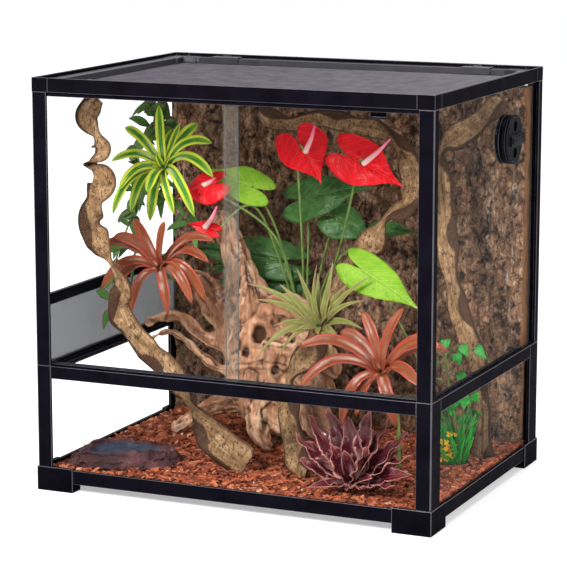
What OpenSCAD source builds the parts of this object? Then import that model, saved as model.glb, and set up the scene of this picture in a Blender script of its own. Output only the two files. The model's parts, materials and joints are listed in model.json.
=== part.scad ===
// Furnished glass reptile terrarium, millimetres.
// Origin: floor level, centre of the frame's footprint. +X right, +Y back, +Z up, doors at -Y.

/* [Enclosure] */
// Width over the feet
width = 600; // [480:5:720]
// Depth over the feet
depth = 450; // [440:5:600]
// Height of the top rim
height = 590; // [580:5:760]
// Height of the seam between the lower and the upper part
seam_z = 182; // [170:1:190]

/* [Frame] */
// How far the feet stand proud of the rails
foot_proud = 1.5; // [0.5:0.5:3]
// Length of each foot along the front and the sides
foot_len = 57; // [45:1:70]
// Height of the feet
foot_h = 35; // [34:1:38]
// Width of the feet's two arms, seen from below
foot_arm = 24; // [22:1:30]
// Gap under the bottom rails
rail_gap = 13; // [10:1:16]
// Height of the rails' outer faces
rail_h = 20; // [18:1:22]
// Thickness of the rails' and posts' outer flanges
flange_t = 4.5; // [4:0.5:5]
// Thickness of the rails' inner shelves
shelf_t = 3; // [2:0.5:4]
// How far the shelves reach in from the outer face
shelf_w = 22; // [20:1:24]
// Width of every post on the front and the back
post_w = 22; // [20:1:26]
// Width of a lower post on the sides
lower_post_side = 35; // [30:1:40]
// Width of an upper post on the sides
upper_post_side = 15; // [12:1:26]
// Side of the post's square core behind the flanges
post_core = 7; // [6:0.5:7]
// Side length of the top corner caps
cap_len = 25; // [24:1:32]
// Thickness of the standing rim round the top
rim_t = 3; // [2.5:0.5:4]

/* [Glass] */
// Thickness of the panes
pane_t = 4; // [3:0.5:5]
// Overlap of the two sliding doors
door_overlap = 22; // [12:1:40]
// How far right of the middle the doors overlap
door_meet = 2.5; // [-10:0.5:10]
// Air between two pieces that fit together
fit_gap = 0.3; // [0.2:0.05:0.5]
// Thickness of the waterproof bottom panel
bottom_t = 6; // [4:0.5:8]

/* [Door tracks] */
// Height of the lower track
low_track_h = 7; // [6:0.5:8]
// Depth of the track grooves
groove_d = 5; // [3:0.5:5]
// Height of the upper track
up_track_h = 7; // [7:0.5:9]
// Width of the clip under the upper track
clip_w = 23; // [16:1:30]

/* [Side vent] */
// Height of the vent's mesh
vent_mesh_h = 82; // [60:1:100]
// Height of the bar above the mesh
vent_bar_h = 16; // [12:1:20]
// Columns of gaps in the vent's net
vent_cols = 36; // [20:1:37]
// Rows of gaps in the vent's net
vent_rows = 8; // [5:1:8]

/* [Screen lid] */
// Width of the lid's bars
lid_bar_w = 20; // [16:1:22]
// How far the lid's top lies below the rim
lid_sunk = 5; // [4:0.5:6]
// Length of the lid's corner pieces
lid_corner_len = 48; // [40:1:60]
// How much wider than the bars the corner pieces are
lid_corner_step = 3; // [1:0.5:5]
// Columns of gaps in the lid's net
lid_cols = 20; // [12:1:20]
// Rows of gaps in the lid's net
lid_rows = 15; // [10:1:15]
// Thickness of the nets
net_t = 1.5; // [1:0.1:2]
// Width of the strands of the nets
strand_w = 1.6; // [1:0.1:2.5]

/* [Lid latches] */
// How far each latch's middle is from the lid's end
latch_in = 83; // [70:1:140]
// Length of a latch's slider
latch_len = 22; // [16:1:26]
// Diameter of the thumb boss
boss_d = 9; // [6:0.5:10]
// Travel of a latch
latch_travel = 10; // [8:0.5:12]
// Length of the keeper lug on the rim
keeper_len = 8; // [6:0.5:10]

/* [Cable gates] */
// How far each gate's middle is from the lid's end
gate_in = 92; // [91:1:140]
// Length of a gate
gate_len = 45; // [30:1:50]

/* [Rotary port] */
// Outer diameter of the port
port_d = 70; // [60:1:72]
// Distance of the port's centre behind the middle
port_y = 90; // [60:1:100]
// How far the port's axis is below the top rim
port_drop = 92; // [80:1:150]
// Diameter of the port's neck through the pane
neck_d = 56; // [50:1:56]
// Thickness of the port's fixed flange
port_flange_t = 4; // [3:0.5:5]
// Thickness of the rotating cover
cover_t = 4.4; // [3:0.1:5]
// Height of the grip on the cover
grip_h = 6.3; // [4:0.1:6.5]
// Radius of the vent holes in the port
port_hole_r = 8; // [5:0.5:8]

/* [Furnishing] */
// Depth of the bark substrate
substrate_h = 11; // [6:0.5:20]
// Thickness of the background panel, without its relief
panel_t = 14; // [8:1:20]
// Depth of the bark relief on the background panel
relief_d = 24; // [10:1:30]
// Thickness of the bark ribbons
ribbon_t = 4; // [3:0.5:6]
// Thickness of the leaves
leaf_t = 1.6; // [1.2:0.1:3]
// Length of the water dish
dish_l = 165; // [120:5:165]
// Width of the water dish
dish_w = 105; // [80:5:105]
// Height of the water dish
dish_h = 26; // [18:1:34]

/* [Hidden] */
$fn = 64;

frame_black = [0.07, 0.07, 0.09];
glass_clear = [0.85, 0.92, 0.93, 0.25];
bark_tan = [0.62, 0.47, 0.28];
leaf_green = [0.13, 0.42, 0.16];

// Frame faces and levels
fx = width / 2 - foot_proud;
fy = depth / 2 - foot_proud;
glass_x = fx - flange_t;
glass_y = fy - flange_t;
panel_z = rail_gap + shelf_t;
pane_z = panel_z + bottom_t;
mid_z = seam_z - rail_h + 2;
mid_shelf_z = seam_z - 8;
mid_shelf_top = mid_shelf_z + shelf_t + 1;
top_z = height - rail_h;
top_shelf_z = top_z + 1;
top_shelf_t = 2.5;
lid_z = top_shelf_z + top_shelf_t + fit_gap;
lid_top = height - lid_sunk;
inside_x = glass_x - pane_t;
inside_y = glass_y - pane_t;
soil_z = pane_z + substrate_h;
seat = soil_z + fit_gap;
lid_hx = fx - rim_t - 0.5;
lid_hy = fy - rim_t - 0.5;
latch_x = lid_hx - latch_in;
gate_x = lid_hx - gate_in;
port_z = height - port_drop;

// Doors: the outer one slides in front of the inner one
track_wall = 2;
groove_w = pane_t + 2 * fit_gap;
track_y0 = -glass_y;
track_d = 2 * groove_w + 3 * track_wall;
outer_door_y = track_y0 + track_wall + fit_gap;
inner_door_y = outer_door_y + groove_w + track_wall;
low_track_z = mid_shelf_top;
up_track_z = top_shelf_z - up_track_h;
door_end = fx - flange_t - post_core - 0.3;
left_door_w = door_end + door_meet + door_overlap / 2;
right_door_w = door_end - door_meet + door_overlap / 2;
door_z0 = low_track_z + low_track_h - groove_d + fit_gap;
door_z1 = up_track_z + groove_d - 2.2;

// ---------- helpers ----------

function unit(v) = v / max(norm(v), 0.0001);
function mix(a, b, t) = a + (b - a) * t;

// Point on a smooth curve through the points p, s from 0 to 1
function on_curve(p, s) =
    let (n = len(p) - 1,
         k = min(n - 1, floor(s * n)),
         t = s * n - k,
         a = p[max(0, k - 1)],
         b = p[k],
         c = p[k + 1],
         d = p[min(n, k + 2)])
    0.5 * (2 * b + (c - a) * t + (2 * a - 5 * b + 4 * c - d) * t * t
           + (3 * b - a - 3 * c + d) * t * t * t);

function head(v) = [v[0], v[1], v[2]];

// Triangles that join rings of m points, n rings, with flat ends
function ring_faces(n, m) = concat(
    [for (i = [0:n - 2], j = [0:m - 1])
        [i * m + j, (i + 1) * m + j, (i + 1) * m + (j + 1) % m]],
    [for (i = [0:n - 2], j = [0:m - 1])
        [i * m + j, (i + 1) * m + (j + 1) % m, i * m + (j + 1) % m]],
    [for (j = [1:m - 2]) [0, j, j + 1]],
    [for (j = [1:m - 2]) [(n - 1) * m, (n - 1) * m + j + 1, (n - 1) * m + j]]);

module rail_along(length) {
    // Extrudes a section drawn as [inward, up] along X, centred
    rotate([90, 0, 90]) linear_extrude(length, center = true) children();
}

// One side of the frame: 0 front, 1 right, 2 rear, 3 left
module on_side(side) {
    hx = [0, fx, 0, -fx][side];
    hy = [-fy, 0, fy, 0][side];
    translate([hx, hy, 0]) rotate(side * 90) children();
}

// One corner: the first drawn at front left, mirrored to the others
module at_corner(right, rear) {
    mirror([right, 0, 0]) mirror([0, rear, 0]) children();
}

// A bent strip between two levels, with its outer corner at [x, y]
module corner_l(x, y, arm_x, arm_y, t, z0, z1) {
    translate([-x, -y, z0]) cube([arm_x, t, z1 - z0]);
    translate([-x, -y, z0]) cube([t, arm_y, z1 - z0]);
}

// ---------- frame ----------

module foot(right, rear) {
    color(frame_black) at_corner(right, rear) {
        corner_l(width / 2, depth / 2, foot_len, foot_len, foot_arm, 0, panel_z);
        corner_l(width / 2, depth / 2, foot_len, foot_len,
                 flange_t + foot_proud, panel_z, foot_h);
    }
}

module bottom_rail(side) {
    across = side % 2 == 0 ? width : depth;
    color(frame_black) on_side(side) rail_along(across - 2 * foot_len) {
        translate([0, rail_gap]) square([flange_t, rail_h]);
        translate([0, rail_gap]) square([shelf_w, shelf_t]);
    }
}

module post(right, rear, side_w, z0, z1) {
    edge = 1;
    color(frame_black) at_corner(right, rear) translate([-fx, -fy, z0])
        linear_extrude(z1 - z0)
            polygon([[edge, 0], [post_w, 0], [post_w, flange_t],
                     [flange_t + post_core, flange_t],
                     [flange_t + post_core, flange_t + post_core],
                     [flange_t, flange_t + post_core], [flange_t, side_w],
                     [0, side_w], [0, edge]]);
}

module lower_post(right, rear) {
    post(right, rear, lower_post_side, foot_h, seam_z);
}

module upper_post(right, rear) {
    post(right, rear, upper_post_side, seam_z, top_z);
}

module mid_rail(side) {
    across = side % 2 == 0 ? 2 * (fx - post_w) : 2 * (fy - lower_post_side);
    color(frame_black) on_side(side) rail_along(across) {
        translate([0, mid_z]) square([flange_t, seam_z - mid_z]);
        translate([0, mid_shelf_z]) square([shelf_w, mid_shelf_top - mid_shelf_z]);
    }
}

module top_section() {
    translate([0, top_z]) square([rim_t, rail_h]);
    translate([0, top_z]) square([flange_t, top_shelf_z + top_shelf_t - top_z]);
    translate([0, top_shelf_z]) square([shelf_w, top_shelf_t]);
}

// Keeper lugs stand on the inside of the front rim, above the latches' sliders
module keeper_lugs() {
    for (s = [-1, 1])
        translate([s * keeper_x - keeper_len / 2, rim_t - 0.1, lid_top + 2.3])
            cube([keeper_len, 3.6, 2]);
}

module top_rail(side) {
    across = side % 2 == 0 ? 2 * (fx - cap_len) : 2 * (fy - cap_len);
    color(frame_black) on_side(side) {
        rail_along(across) top_section();
        if (side == 0) keeper_lugs();
    }
}

module top_corner_caps() {
    for (right = [0, 1], rear = [0, 1])
        color(frame_black) at_corner(right, rear) {
            corner_l(fx, fy, cap_len, cap_len, rim_t, top_z, height);
            corner_l(fx, fy, cap_len, cap_len, flange_t, top_z, lid_z - fit_gap);
            corner_l(fx, fy, cap_len, cap_len, shelf_w, top_shelf_z, lid_z - fit_gap);
        }
}

// ---------- panes and doors ----------

module bottom_panel() {
    color([0.12, 0.12, 0.13])
        translate([-glass_x + fit_gap, -glass_y + fit_gap, panel_z])
            cube([2 * (glass_x - fit_gap), 2 * (glass_y - fit_gap), bottom_t]);
}

// A pane behind one side's flanges, with its own clearance at the corner posts
module pane(side, z0, z1) {
    half = (side % 2 == 0 ? glass_x : glass_y) - post_core - fit_gap;
    color(glass_clear) on_side(side)
        translate([-half, flange_t + 0.2, z0]) cube([2 * half, pane_t, z1 - z0]);
}

module lower_pane(side) {
    pane(side, pane_z + fit_gap, mid_shelf_z - fit_gap);
}

module upper_pane(side, z0) {
    pane(side, z0, top_shelf_z - fit_gap);
}

module upper_right_glass() {
    difference() {
        upper_pane(1, mid_shelf_top + fit_gap);
        translate([fx, port_y, port_z]) rotate([0, 90, 0])
            cylinder(d = neck_d + 1, h = 40, center = true);
    }
}

module door(x0, y0, w) {
    color(glass_clear)
        translate([x0, y0, door_z0]) cube([w, pane_t, door_z1 - door_z0]);
}

module left_door() {
    door(-door_end, outer_door_y, left_door_w);
}

module right_door() {
    door(door_end - right_door_w, inner_door_y, right_door_w);
}

module track(z0, h, groove_z) {
    color(frame_black) difference() {
        translate([-door_end, track_y0, z0]) cube([2 * door_end, track_d, h]);
        for (y = [outer_door_y, inner_door_y])
            translate([-door_end - 1, y - fit_gap, groove_z])
                cube([2 * door_end + 2, groove_w, groove_d + 0.01]);
    }
}

module lower_door_track() {
    track(low_track_z, low_track_h, low_track_z + low_track_h - groove_d);
}

module upper_door_track() {
    track(up_track_z, up_track_h, up_track_z - 0.01);
}

module track_clip() {
    clip_drop = 11;
    color(frame_black)
        translate([latch_x - clip_w / 2, track_y0 + track_d, up_track_z - clip_drop]) {
            cube([clip_w, 2.5, clip_drop + up_track_h - 0.4]);
            translate([0, -1.6, 0]) cube([clip_w, 4.1, 3]);
        }
}

// ---------- side vent ----------

vent_z = mid_shelf_top + fit_gap;
vent_half = glass_y - post_core - fit_gap;
vent_low = 5;
vent_end = 6;
vent_top = vent_z + vent_low + vent_mesh_h + vent_bar_h;
vent_t = 6;

module vent_frame() {
    color(frame_black) on_side(3) translate([0, flange_t + 0.2, vent_z]) {
        difference() {
            translate([-vent_half, 0, 0]) cube([2 * vent_half, vent_t, vent_top - vent_z]);
            translate([-vent_half + vent_end, -1, vent_low])
                cube([2 * (vent_half - vent_end), vent_t + 2, vent_mesh_h]);
            // Slot for the net, and the channel that the pane above stands in
            translate([-vent_half + vent_end - 2, (vent_t - net_t) / 2 - 0.1, vent_low - 2])
                cube([2 * (vent_half - vent_end + 2), net_t + 0.2, vent_mesh_h + 4]);
        }
    }
}

// A flat net drawn with its lower left corner at the origin
module net(w, h, cols, rows, edge) {
    pitch_x = (w - 2 * edge - strand_w) / cols;
    pitch_y = (h - 2 * edge - strand_w) / rows;
    linear_extrude(net_t) difference() {
        square([w, h]);
        for (i = [0:cols - 1], j = [0:rows - 1])
            translate([edge + strand_w + i * pitch_x, edge + strand_w + j * pitch_y])
                square([pitch_x - strand_w, pitch_y - strand_w]);
    }
}

module vent_mesh() {
    tuck = 1.8;
    color([0.5, 0.52, 0.56]) on_side(3)
        translate([-vent_half + vent_end - tuck, flange_t + 0.2 + (vent_t + net_t) / 2,
                   vent_z + vent_low - tuck])
            rotate([90, 0, 0])
                net(2 * (vent_half - vent_end + tuck), vent_mesh_h + 2 * tuck,
                    vent_cols, vent_rows, tuck);
}

// ---------- screen lid ----------

lid_in_x = lid_hx - lid_bar_w;
lid_in_y = lid_hy - lid_bar_w;
net_z = lid_z + 1;
net_tuck = 3;
keeper_x = latch_x - latch_len / 2 - 1 - keeper_len / 2;
slider_y = -lid_hy + 0.4;
slider_d = 12;
key_w = 3;
key_d = 3;
gate_wall = 2;

module lid_slot() {
    translate([-lid_in_x - net_tuck - 0.1, -lid_in_y - net_tuck - 0.1, net_z - 0.1])
        cube([2 * (lid_in_x + net_tuck + 0.1), 2 * (lid_in_y + net_tuck + 0.1), net_t + 0.2]);
}

// Passages in the lid for the keeper lugs, the latches' keys and the cables
module lid_passages() {
    for (s = [-1, 1]) {
        translate([s * keeper_x - keeper_len / 2 - 0.6, -lid_hy - 1, lid_z - 1])
            cube([keeper_len + 1.2, 5, lid_top - lid_z + 2]);
        translate([s * (latch_x - latch_travel / 2) - (latch_len + latch_travel + 1) / 2,
                   slider_y + slider_d / 2 - key_w / 2 - 0.2, lid_top - key_d - 0.3])
            cube([latch_len + latch_travel + 1, key_w + 0.4, key_d + 1]);
        translate([s * gate_x - gate_len / 2 + 4, lid_in_y - 1, net_z + net_t + 1.4])
            cube([gate_len - 8, lid_bar_w + 2, lid_top]);
    }
}

module lid_bars() {
    run_x = lid_hx - lid_corner_len;
    run_y = lid_hy - lid_corner_len;
    color(frame_black) difference() {
        for (s = [-1, 1]) {
            translate([-run_x, s > 0 ? lid_in_y : -lid_hy, lid_z])
                cube([2 * run_x, lid_bar_w, lid_top - lid_z]);
            translate([s > 0 ? lid_in_x : -lid_hx, -run_y, lid_z])
                cube([lid_bar_w, 2 * run_y, lid_top - lid_z]);
        }
        lid_slot();
        lid_passages();
    }
}

module lid_corners() {
    wide = lid_bar_w + lid_corner_step;
    color(frame_black) difference() {
        for (right = [0, 1], rear = [0, 1])
            at_corner(right, rear) {
                corner_l(lid_hx, lid_hy, lid_corner_len, lid_corner_len, lid_bar_w,
                         lid_z, lid_top);
                corner_l(lid_hx, lid_hy, lid_corner_len - 4, lid_corner_len - 4, wide,
                         lid_z, lid_top + 0.6);
            }
        lid_slot();
        lid_passages();
    }
}

module lid_mesh() {
    color([0.42, 0.4, 0.45])
        translate([-lid_in_x - net_tuck, -lid_in_y - net_tuck, net_z])
            net(2 * (lid_in_x + net_tuck), 2 * (lid_in_y + net_tuck),
                lid_cols, lid_rows, net_tuck);
}

// A slider that runs along the lid's front bar and tucks under its keeper lug
module latch(s) {
    plate_t = 1.6;
    plate_z = lid_top + fit_gap;
    color([0.1, 0.1, 0.12]) translate([s * latch_x, slider_y, 0]) {
        translate([-latch_len / 2, 0, plate_z]) cube([latch_len, slider_d, plate_t]);
        translate([-latch_len / 2 + 1, slider_d / 2 - key_w / 2, plate_z - key_d])
            cube([latch_len - 2, key_w, key_d]);
        translate([0, slider_d / 2 + 1.4, plate_z + plate_t - 0.01])
            cylinder(d1 = boss_d, d2 = boss_d - 2, h = 2.6);
        translate([-boss_d, slider_d / 2 + 0.8, plate_z + plate_t - 0.01])
            cube([2 * boss_d, 1.2, 0.9]);
    }
}

// A hooked slide on the rear bar that closes the notch for cables
module cable_gate(s) {
    top_t = 1.8;
    color([0.12, 0.12, 0.15])
        translate([s * gate_x - gate_len / 2, 0, 0]) {
            translate([0, lid_in_y - fit_gap - gate_wall, lid_top + fit_gap])
                cube([gate_len, gate_wall + lid_bar_w - 2, top_t]);
            translate([0, lid_in_y - fit_gap - gate_wall, net_z + net_t + fit_gap])
                cube([gate_len, gate_wall, lid_top + top_t - net_z - net_t]);
            translate([gate_len / 2 - 7, lid_in_y + lid_bar_w / 2 - 4, lid_top + top_t])
                cube([14, 5, 1.6]);
        }
}

// ---------- rotary port ----------

port_x = fx - flange_t - 0.2;
pin_r = 3;
hole_reach = 19;

// Draws along +X from the outer face of the right pane, with the port's axis as Z
module at_port() {
    translate([port_x, port_y, port_z]) rotate([0, 90, 0]) children();
}

module port_body() {
    neck_l = pane_t + 9;
    color([0.05, 0.05, 0.06]) at_port() difference() {
        union() {
            translate([0, 0, fit_gap]) cylinder(d = port_d, h = port_flange_t);
            translate([0, 0, -neck_l]) cylinder(d = neck_d, h = neck_l + port_flange_t);
        }
        translate([0, 0, -neck_l - 1]) cylinder(d = neck_d - 6, h = neck_l + 1);
        translate([0, 0, -1]) cylinder(r = pin_r + 0.06, h = port_flange_t + 3);
        for (s = [-1, 1])
            translate([0, s * hole_reach, -1])
                cylinder(r = port_hole_r, h = port_flange_t + 3);
    }
}

module port_nut() {
    color([0.05, 0.05, 0.06]) at_port() translate([0, 0, -pane_t - 6 - fit_gap])
        difference() {
            cylinder(d = port_d, h = 6);
            translate([0, 0, -1]) cylinder(d = neck_d + 0.4, h = 8);
        }
}

module port_cover() {
    z0 = port_flange_t + 2 * fit_gap;
    rim_step = 1.2;
    ticks = 7;
    color([0.05, 0.05, 0.06]) at_port() {
        difference() {
            union() {
                translate([0, 0, z0]) cylinder(d = port_d, h = cover_t - rim_step);
                translate([0, 0, z0]) cylinder(d = port_d - 7, h = cover_t);
            }
            for (s = [-1, 1])
                translate([s * hole_reach, 0, z0 - 1])
                    cylinder(r = port_hole_r, h = cover_t + 2);
        }
        // Pin in the flange's bore
        translate([0, 0, fit_gap + 0.2]) cylinder(r = pin_r, h = port_flange_t + 2);
        // Wing grip
        translate([-7.5, -27, z0 + cover_t - 0.01]) cube([15, 54, grip_h - 2]);
        translate([-4.5, -25, z0 + cover_t - 0.01]) cube([9, 50, grip_h]);
        // Raised tick marks
        for (i = [0:ticks - 1])
            rotate(112 + i * 9) translate([port_d / 2 - 9, -0.6, z0 + cover_t - 0.01])
                cube([3.5, 1.2, 0.7]);
    }
}

// ---------- furnishing ----------

// Inside sizes that the furnishing's points are drawn for
drawn_x = 290;
drawn_y = 215;
drawn_seat = 33.3;
drawn_top = 571;

// Fits the furnishing to the enclosure as that changes size
module furnished() {
    translate([0, 0, seat])
        scale([inside_x / drawn_x, inside_y / drawn_y,
               (top_shelf_z - seat) / (drawn_top - drawn_seat)])
            translate([0, 0, -drawn_seat]) children();
}

// Planted and built places where no raised chip lies: low x, low y, high x, high y
planted = [[-280, -207, -92, -82], [-232, -8, 80, 106], [-52, -172, 16, -96], [52, -216, 276, -96],
           [-64, 106, -28, 160], [158, -50, 290, 110],
           [-62, -44, -6, 0]];

module substrate() {
    chip_l = 24;
    chip_w = 13;
    chip_t = 5;
    cells_x = 19;
    cells_y = 14;
    reach_x = drawn_x - 25;
    color([0.45, 0.18, 0.1]) {
        translate([-inside_x + 0.8, -inside_y + 0.8, pane_z])
            cube([2 * (inside_x - 0.8), 2 * (inside_y - 0.8), substrate_h]);
        // Raised chips of the top layer
        furnished() for (i = [0:cells_x - 1], j = [0:cells_y - 1])
            let (k = i * cells_y + j,
                 x = -reach_x + 2 * reach_x * i / (cells_x - 1) + 7 * sin(k * 77),
                 y = 20 - drawn_y + 26 * j + 5 * sin(k * 131))
            if (len([for (q = planted) if (x > q[0] && x < q[2] && y > q[1] && y < q[3]) q]) == 0)
                translate([x, y, drawn_seat - 1.5])
                    rotate([9 * sin(k * 53), 8 * sin(k * 91), k * 67])
                        cube([chip_l, chip_w, chip_t - 1], center = true);
    }
}

panel_back = inside_y - 0.8;
panel_x = inside_x - 4;
panel_top = top_shelf_z - 9;

// Depth of the bark relief: long plates that run up the panel, broken into shorter ones
function bark(u, v) =
    let (drift = 14 * sin(v * 1.1) + 8 * sin(v * 2.3 + u * 0.4))
    0.5 + 0.24 * sin(u * 3.1 + drift * 2) + 0.12 * sin(u * 7.4 - drift * 3 + v * 0.6)
        + 0.08 * sin(v * 3.7 + u * 1.9)
        + 0.16 * sin(u * 9.3 + 40 * sin(v * 2.9)) * sin(v * 6.1 + 50 * sin(u * 2.3));

module background_panel() {
    nx = 38;
    nz = 26;
    dx = 2 * panel_x / nx;
    dz = (panel_top - seat) / nz;
    back = panel_back;
    front = panel_back - panel_t;
    grid = [for (j = [0:nz], i = [0:nx])
        let (x = -panel_x + i * dx, z = seat + j * dz)
        [x, front - relief_d * max(0, min(1, bark(x, z))), z]];
    n = nx + 1;
    m = (nx + 1) * (nz + 1);
    edge = concat(
        [for (i = [0:nx]) i],
        [for (j = [1:nz]) j * n + nx],
        [for (i = [1:nx]) nz * n + nx - i],
        [for (j = [1:nz - 1]) (nz - j) * n]);
    plate = concat([for (k = edge) [grid[k][0], back, grid[k][2]]],
                   [[0, back, (seat + panel_top) / 2]]);
    e = len(edge);
    color([0.42, 0.32, 0.24]) difference() {
        union() {
            polyhedron(concat(grid, plate), concat(
        [for (j = [0:nz - 1], i = [0:nx - 1])
            [j * n + i, (j + 1) * n + i, (j + 1) * n + i + 1]],
        [for (j = [0:nz - 1], i = [0:nx - 1])
            [j * n + i, (j + 1) * n + i + 1, j * n + i + 1]],
        [for (k = [0:e - 1]) [m + e, m + k, m + (k + 1) % e]],
        [for (k = [0:e - 1]) [edge[k], edge[(k + 1) % e], m + (k + 1) % e]],
        [for (k = [0:e - 1]) [edge[k], m + (k + 1) % e, m + k]]));
            for (k = [0:9])
                bark_flake(-panel_x + 36 + k * (2 * panel_x - 77) / 9,
                           panel_top * (0.16 + ((k * 173) % 400) / 562));
        }
        // Room for the shelves of the mid rails
        translate([-fx, fy - shelf_w - fit_gap, mid_shelf_z - fit_gap])
            cube([2 * fx, shelf_w, mid_shelf_top - mid_shelf_z + 2 * fit_gap]);
        for (s = [-1, 1])
            translate([s * fx - shelf_w - fit_gap, 0, mid_shelf_z - fit_gap])
                cube([2 * (shelf_w + fit_gap), fy, mid_shelf_top - mid_shelf_z + 2 * fit_gap]);
    }
}

// A raised piece of bark on the panel's face
module bark_flake(x, z) {
    face = panel_back - panel_t - relief_d * 0.6;
    root = panel_back - 4;
    hull() {
        translate([x - 5, face + 3, z - 44]) cube([10, root - face - 3, 4]);
        translate([x - 20, face, z - 16]) cube([30, root - face, 32]);
        translate([x + 2, face + 3, z + 44]) cube([8, root - face - 3, 4]);
    }
}

// A rock-shaped dish with a basin for water
module water_dish() {
    slope = 12;
    color([0.35, 0.14, 0.13]) translate([-inside_x + 12, -inside_y + 10, seat])
        difference() {
            hull() {
                linear_extrude(1) polygon([[14, 0], [dish_l - 50, 4], [dish_l, 22],
                    [dish_l - 8, dish_w - 22], [dish_l - 55, dish_w], [30, dish_w - 6],
                    [0, dish_w - 35], [0, 18]]);
                translate([0, 0, dish_h - 6]) linear_extrude(6)
                    polygon([[20, slope], [dish_l - 56, slope + 2], [dish_l - slope, 30],
                    [dish_l - 20, dish_w - 30], [dish_l - 60, dish_w - slope],
                    [36, dish_w - slope - 4], [slope, dish_w - 40], [slope, 26]]);
            }
            translate([0, 0, 8]) linear_extrude(dish_h)
                polygon([[32, 25], [dish_l - 58, 24], [dish_l - 30, 36],
                [dish_l - 34, dish_w - 38], [dish_l - 62, dish_w - 24],
                [42, dish_w - 27], [26, dish_w - 44], [25, 34]]);
        }
}

// A limb through the points [x, y, z, radius]
module limb(p, grow = 0, sides = 8) {
    for (i = [0:len(p) - 2])
        hull() {
            translate(head(p[i])) sphere(p[i][3] + grow, $fn = sides);
            translate(head(p[i + 1])) sphere(p[i + 1][3] + grow, $fn = sides);
        }
}

// The stump with its branches; grow sets a clearance for what grows on it
module stump(grow) {
    intersection() {
        union() {
            limb([[-45, 66, 45, 30], [-72, 66, 120, 44], [-96, 64, 190, 46],
                  [-108, 64, 260, 32], [-124, 62, 318, 22], [-142, 60, 362, 15]], grow);
            limb([[-75, 60, 100, 30], [-150, 52, 78, 20], [-206, 38, 42, 12]], grow);
            limb([[-50, 58, 95, 30], [10, 44, 72, 22], [58, 24, 44, 12]], grow);
            limb([[-80, 48, 100, 26], [-60, 10, 62, 16], [-34, -14, 42, 11]], grow);
            limb([[-112, 62, 220, 26], [-160, 56, 258, 15], [-186, 52, 276, 11]], grow);
            limb([[-122, 56, 175, 22], [-166, 50, 182, 13], [-206, 42, 212, 10],
                  [-246, 24, 204, 8]], grow);
            limb([[-112, 54, 128, 10], [-150, 48, 140, 9], [-190, 42, 172, 7], [-214, 30, 190, 6],
                  [-240, 10, 180, 5]], grow);
            limb([[-72, 64, 225, 30], [-14, 66, 226, 24], [26, 68, 196, 16]], grow);
            limb([[-60, 64, 160, 40], [0, 62, 150, 26], [22, 58, 118, 18]], grow);
        }
        translate([-drawn_x, -drawn_y, drawn_seat]) cube([2 * drawn_x, 2 * drawn_y, drawn_top]);
    }
}

module driftwood() {
    color([0.66, 0.42, 0.28]) furnished() stump(0);
}

// A bent bark strip through stations [x, y, z, turn, width], bowed across its width
module ribbon(p, steps) {
    path = [for (i = [0:steps]) on_curve(p, i / steps)];
    m = 6;
    rings = [for (i = [0:steps])
        let (here = path[i],
             along = unit(head(path[min(steps, i + 1)]) - head(path[max(0, i - 1)])),
             flat = unit(cross(along, [0, 1, 0])),
             deep = unit(cross(along, flat)),
             side = flat * cos(here[3]) + deep * sin(here[3]),
             face = unit(cross(along, side)),
             half = here[4] / 2,
             bow = half * 0.35)
        for (q = [[-1, -1], [0, 0], [1, -1], [1, 0], [0, 1], [-1, 0]])
            head(here) + side * half * q[0]
                + face * (q[1] == 0 && q[0] == 0 ? bow - ribbon_t
                          : q[0] == 0 ? bow : q[1] * ribbon_t)];
    color(bark_tan) polyhedron(rings, ring_faces(steps + 1, m));
}

module bark_ribbons() furnished() {
    // Coiled strip at the left, down across the front to the floor
    ribbon([[-247, -130, 556, 10, 30], [-263, -131, 528, -30, 34], [-247, -134, 503, 30, 28],
            [-238, -136, 482, 0, 36], [-256, -138, 460, 60, 38], [-236, -140, 438, -15, 46],
            [-245, -140, 410, 10, 40], [-256, -140, 375, -35, 40], [-238, -140, 345, 5, 44],
            [-220, -138, 315, 30, 34], [-208, -136, 285, 10, 32], [-214, -134, 255, -45, 36],
            [-196, -134, 226, 10, 36], [-160, -134, 194, 0, 38], [-124, -134, 158, 10, 38],
            [-102, -132, 124, 25, 36], [-82, -132, 96, 5, 40], [-48, -134, 66, -10, 36],
            [-12, -134, drawn_seat + 13.4, 0, 30]], 44);
    // Long strip from the back, across the middle and down to the front
    ribbon([[-112, 128, 512, 20, 40], [-60, 120, 500, -20, 30], [0, 112, 512, 15, 36],
            [48, 105, 506, -25, 34], [98, 98, 500, 20, 36], [134, 84, 474, 10, 38],
            [158, 64, 436, -20, 38], [156, 52, 402, 25, 34], [128, 50, 384, 50, 40],
            [112, 50, 352, 10, 40], [86, 46, 322, -20, 34], [62, 36, 280, 0, 32],
            [46, 16, 236, 10, 32], [34, -8, 190, 0, 34], [6, -24, 150, 30, 34],
            [14, -46, 112, 10, 34], [30, -74, 80, -10, 34], [56, -108, 56, 0, 32],
            [78, -130, drawn_seat + 12.1, 0, 24]], 44);
    // Strip at the right, from high at the back to the floor
    ribbon([[262, 150, 548, -30, 34], [238, 146, 522, 15, 36], [208, 134, 498, -10, 40],
            [182, 126, 474, 35, 36], [180, 118, 444, 0, 38], [190, 106, 410, 10, 34],
            [198, 96, 370, -10, 32], [204, 88, 325, 0, 30], [216, 78, 280, 10, 30],
            [234, 68, 238, 0, 32], [252, 64, 200, -10, 32], [262, 68, 160, 10, 26],
            [263, 76, 110, 0, 26], [263, 82, 70, 5, 26], [263, 84, drawn_seat + 0.5, 0, 24]], 36);
}

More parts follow.
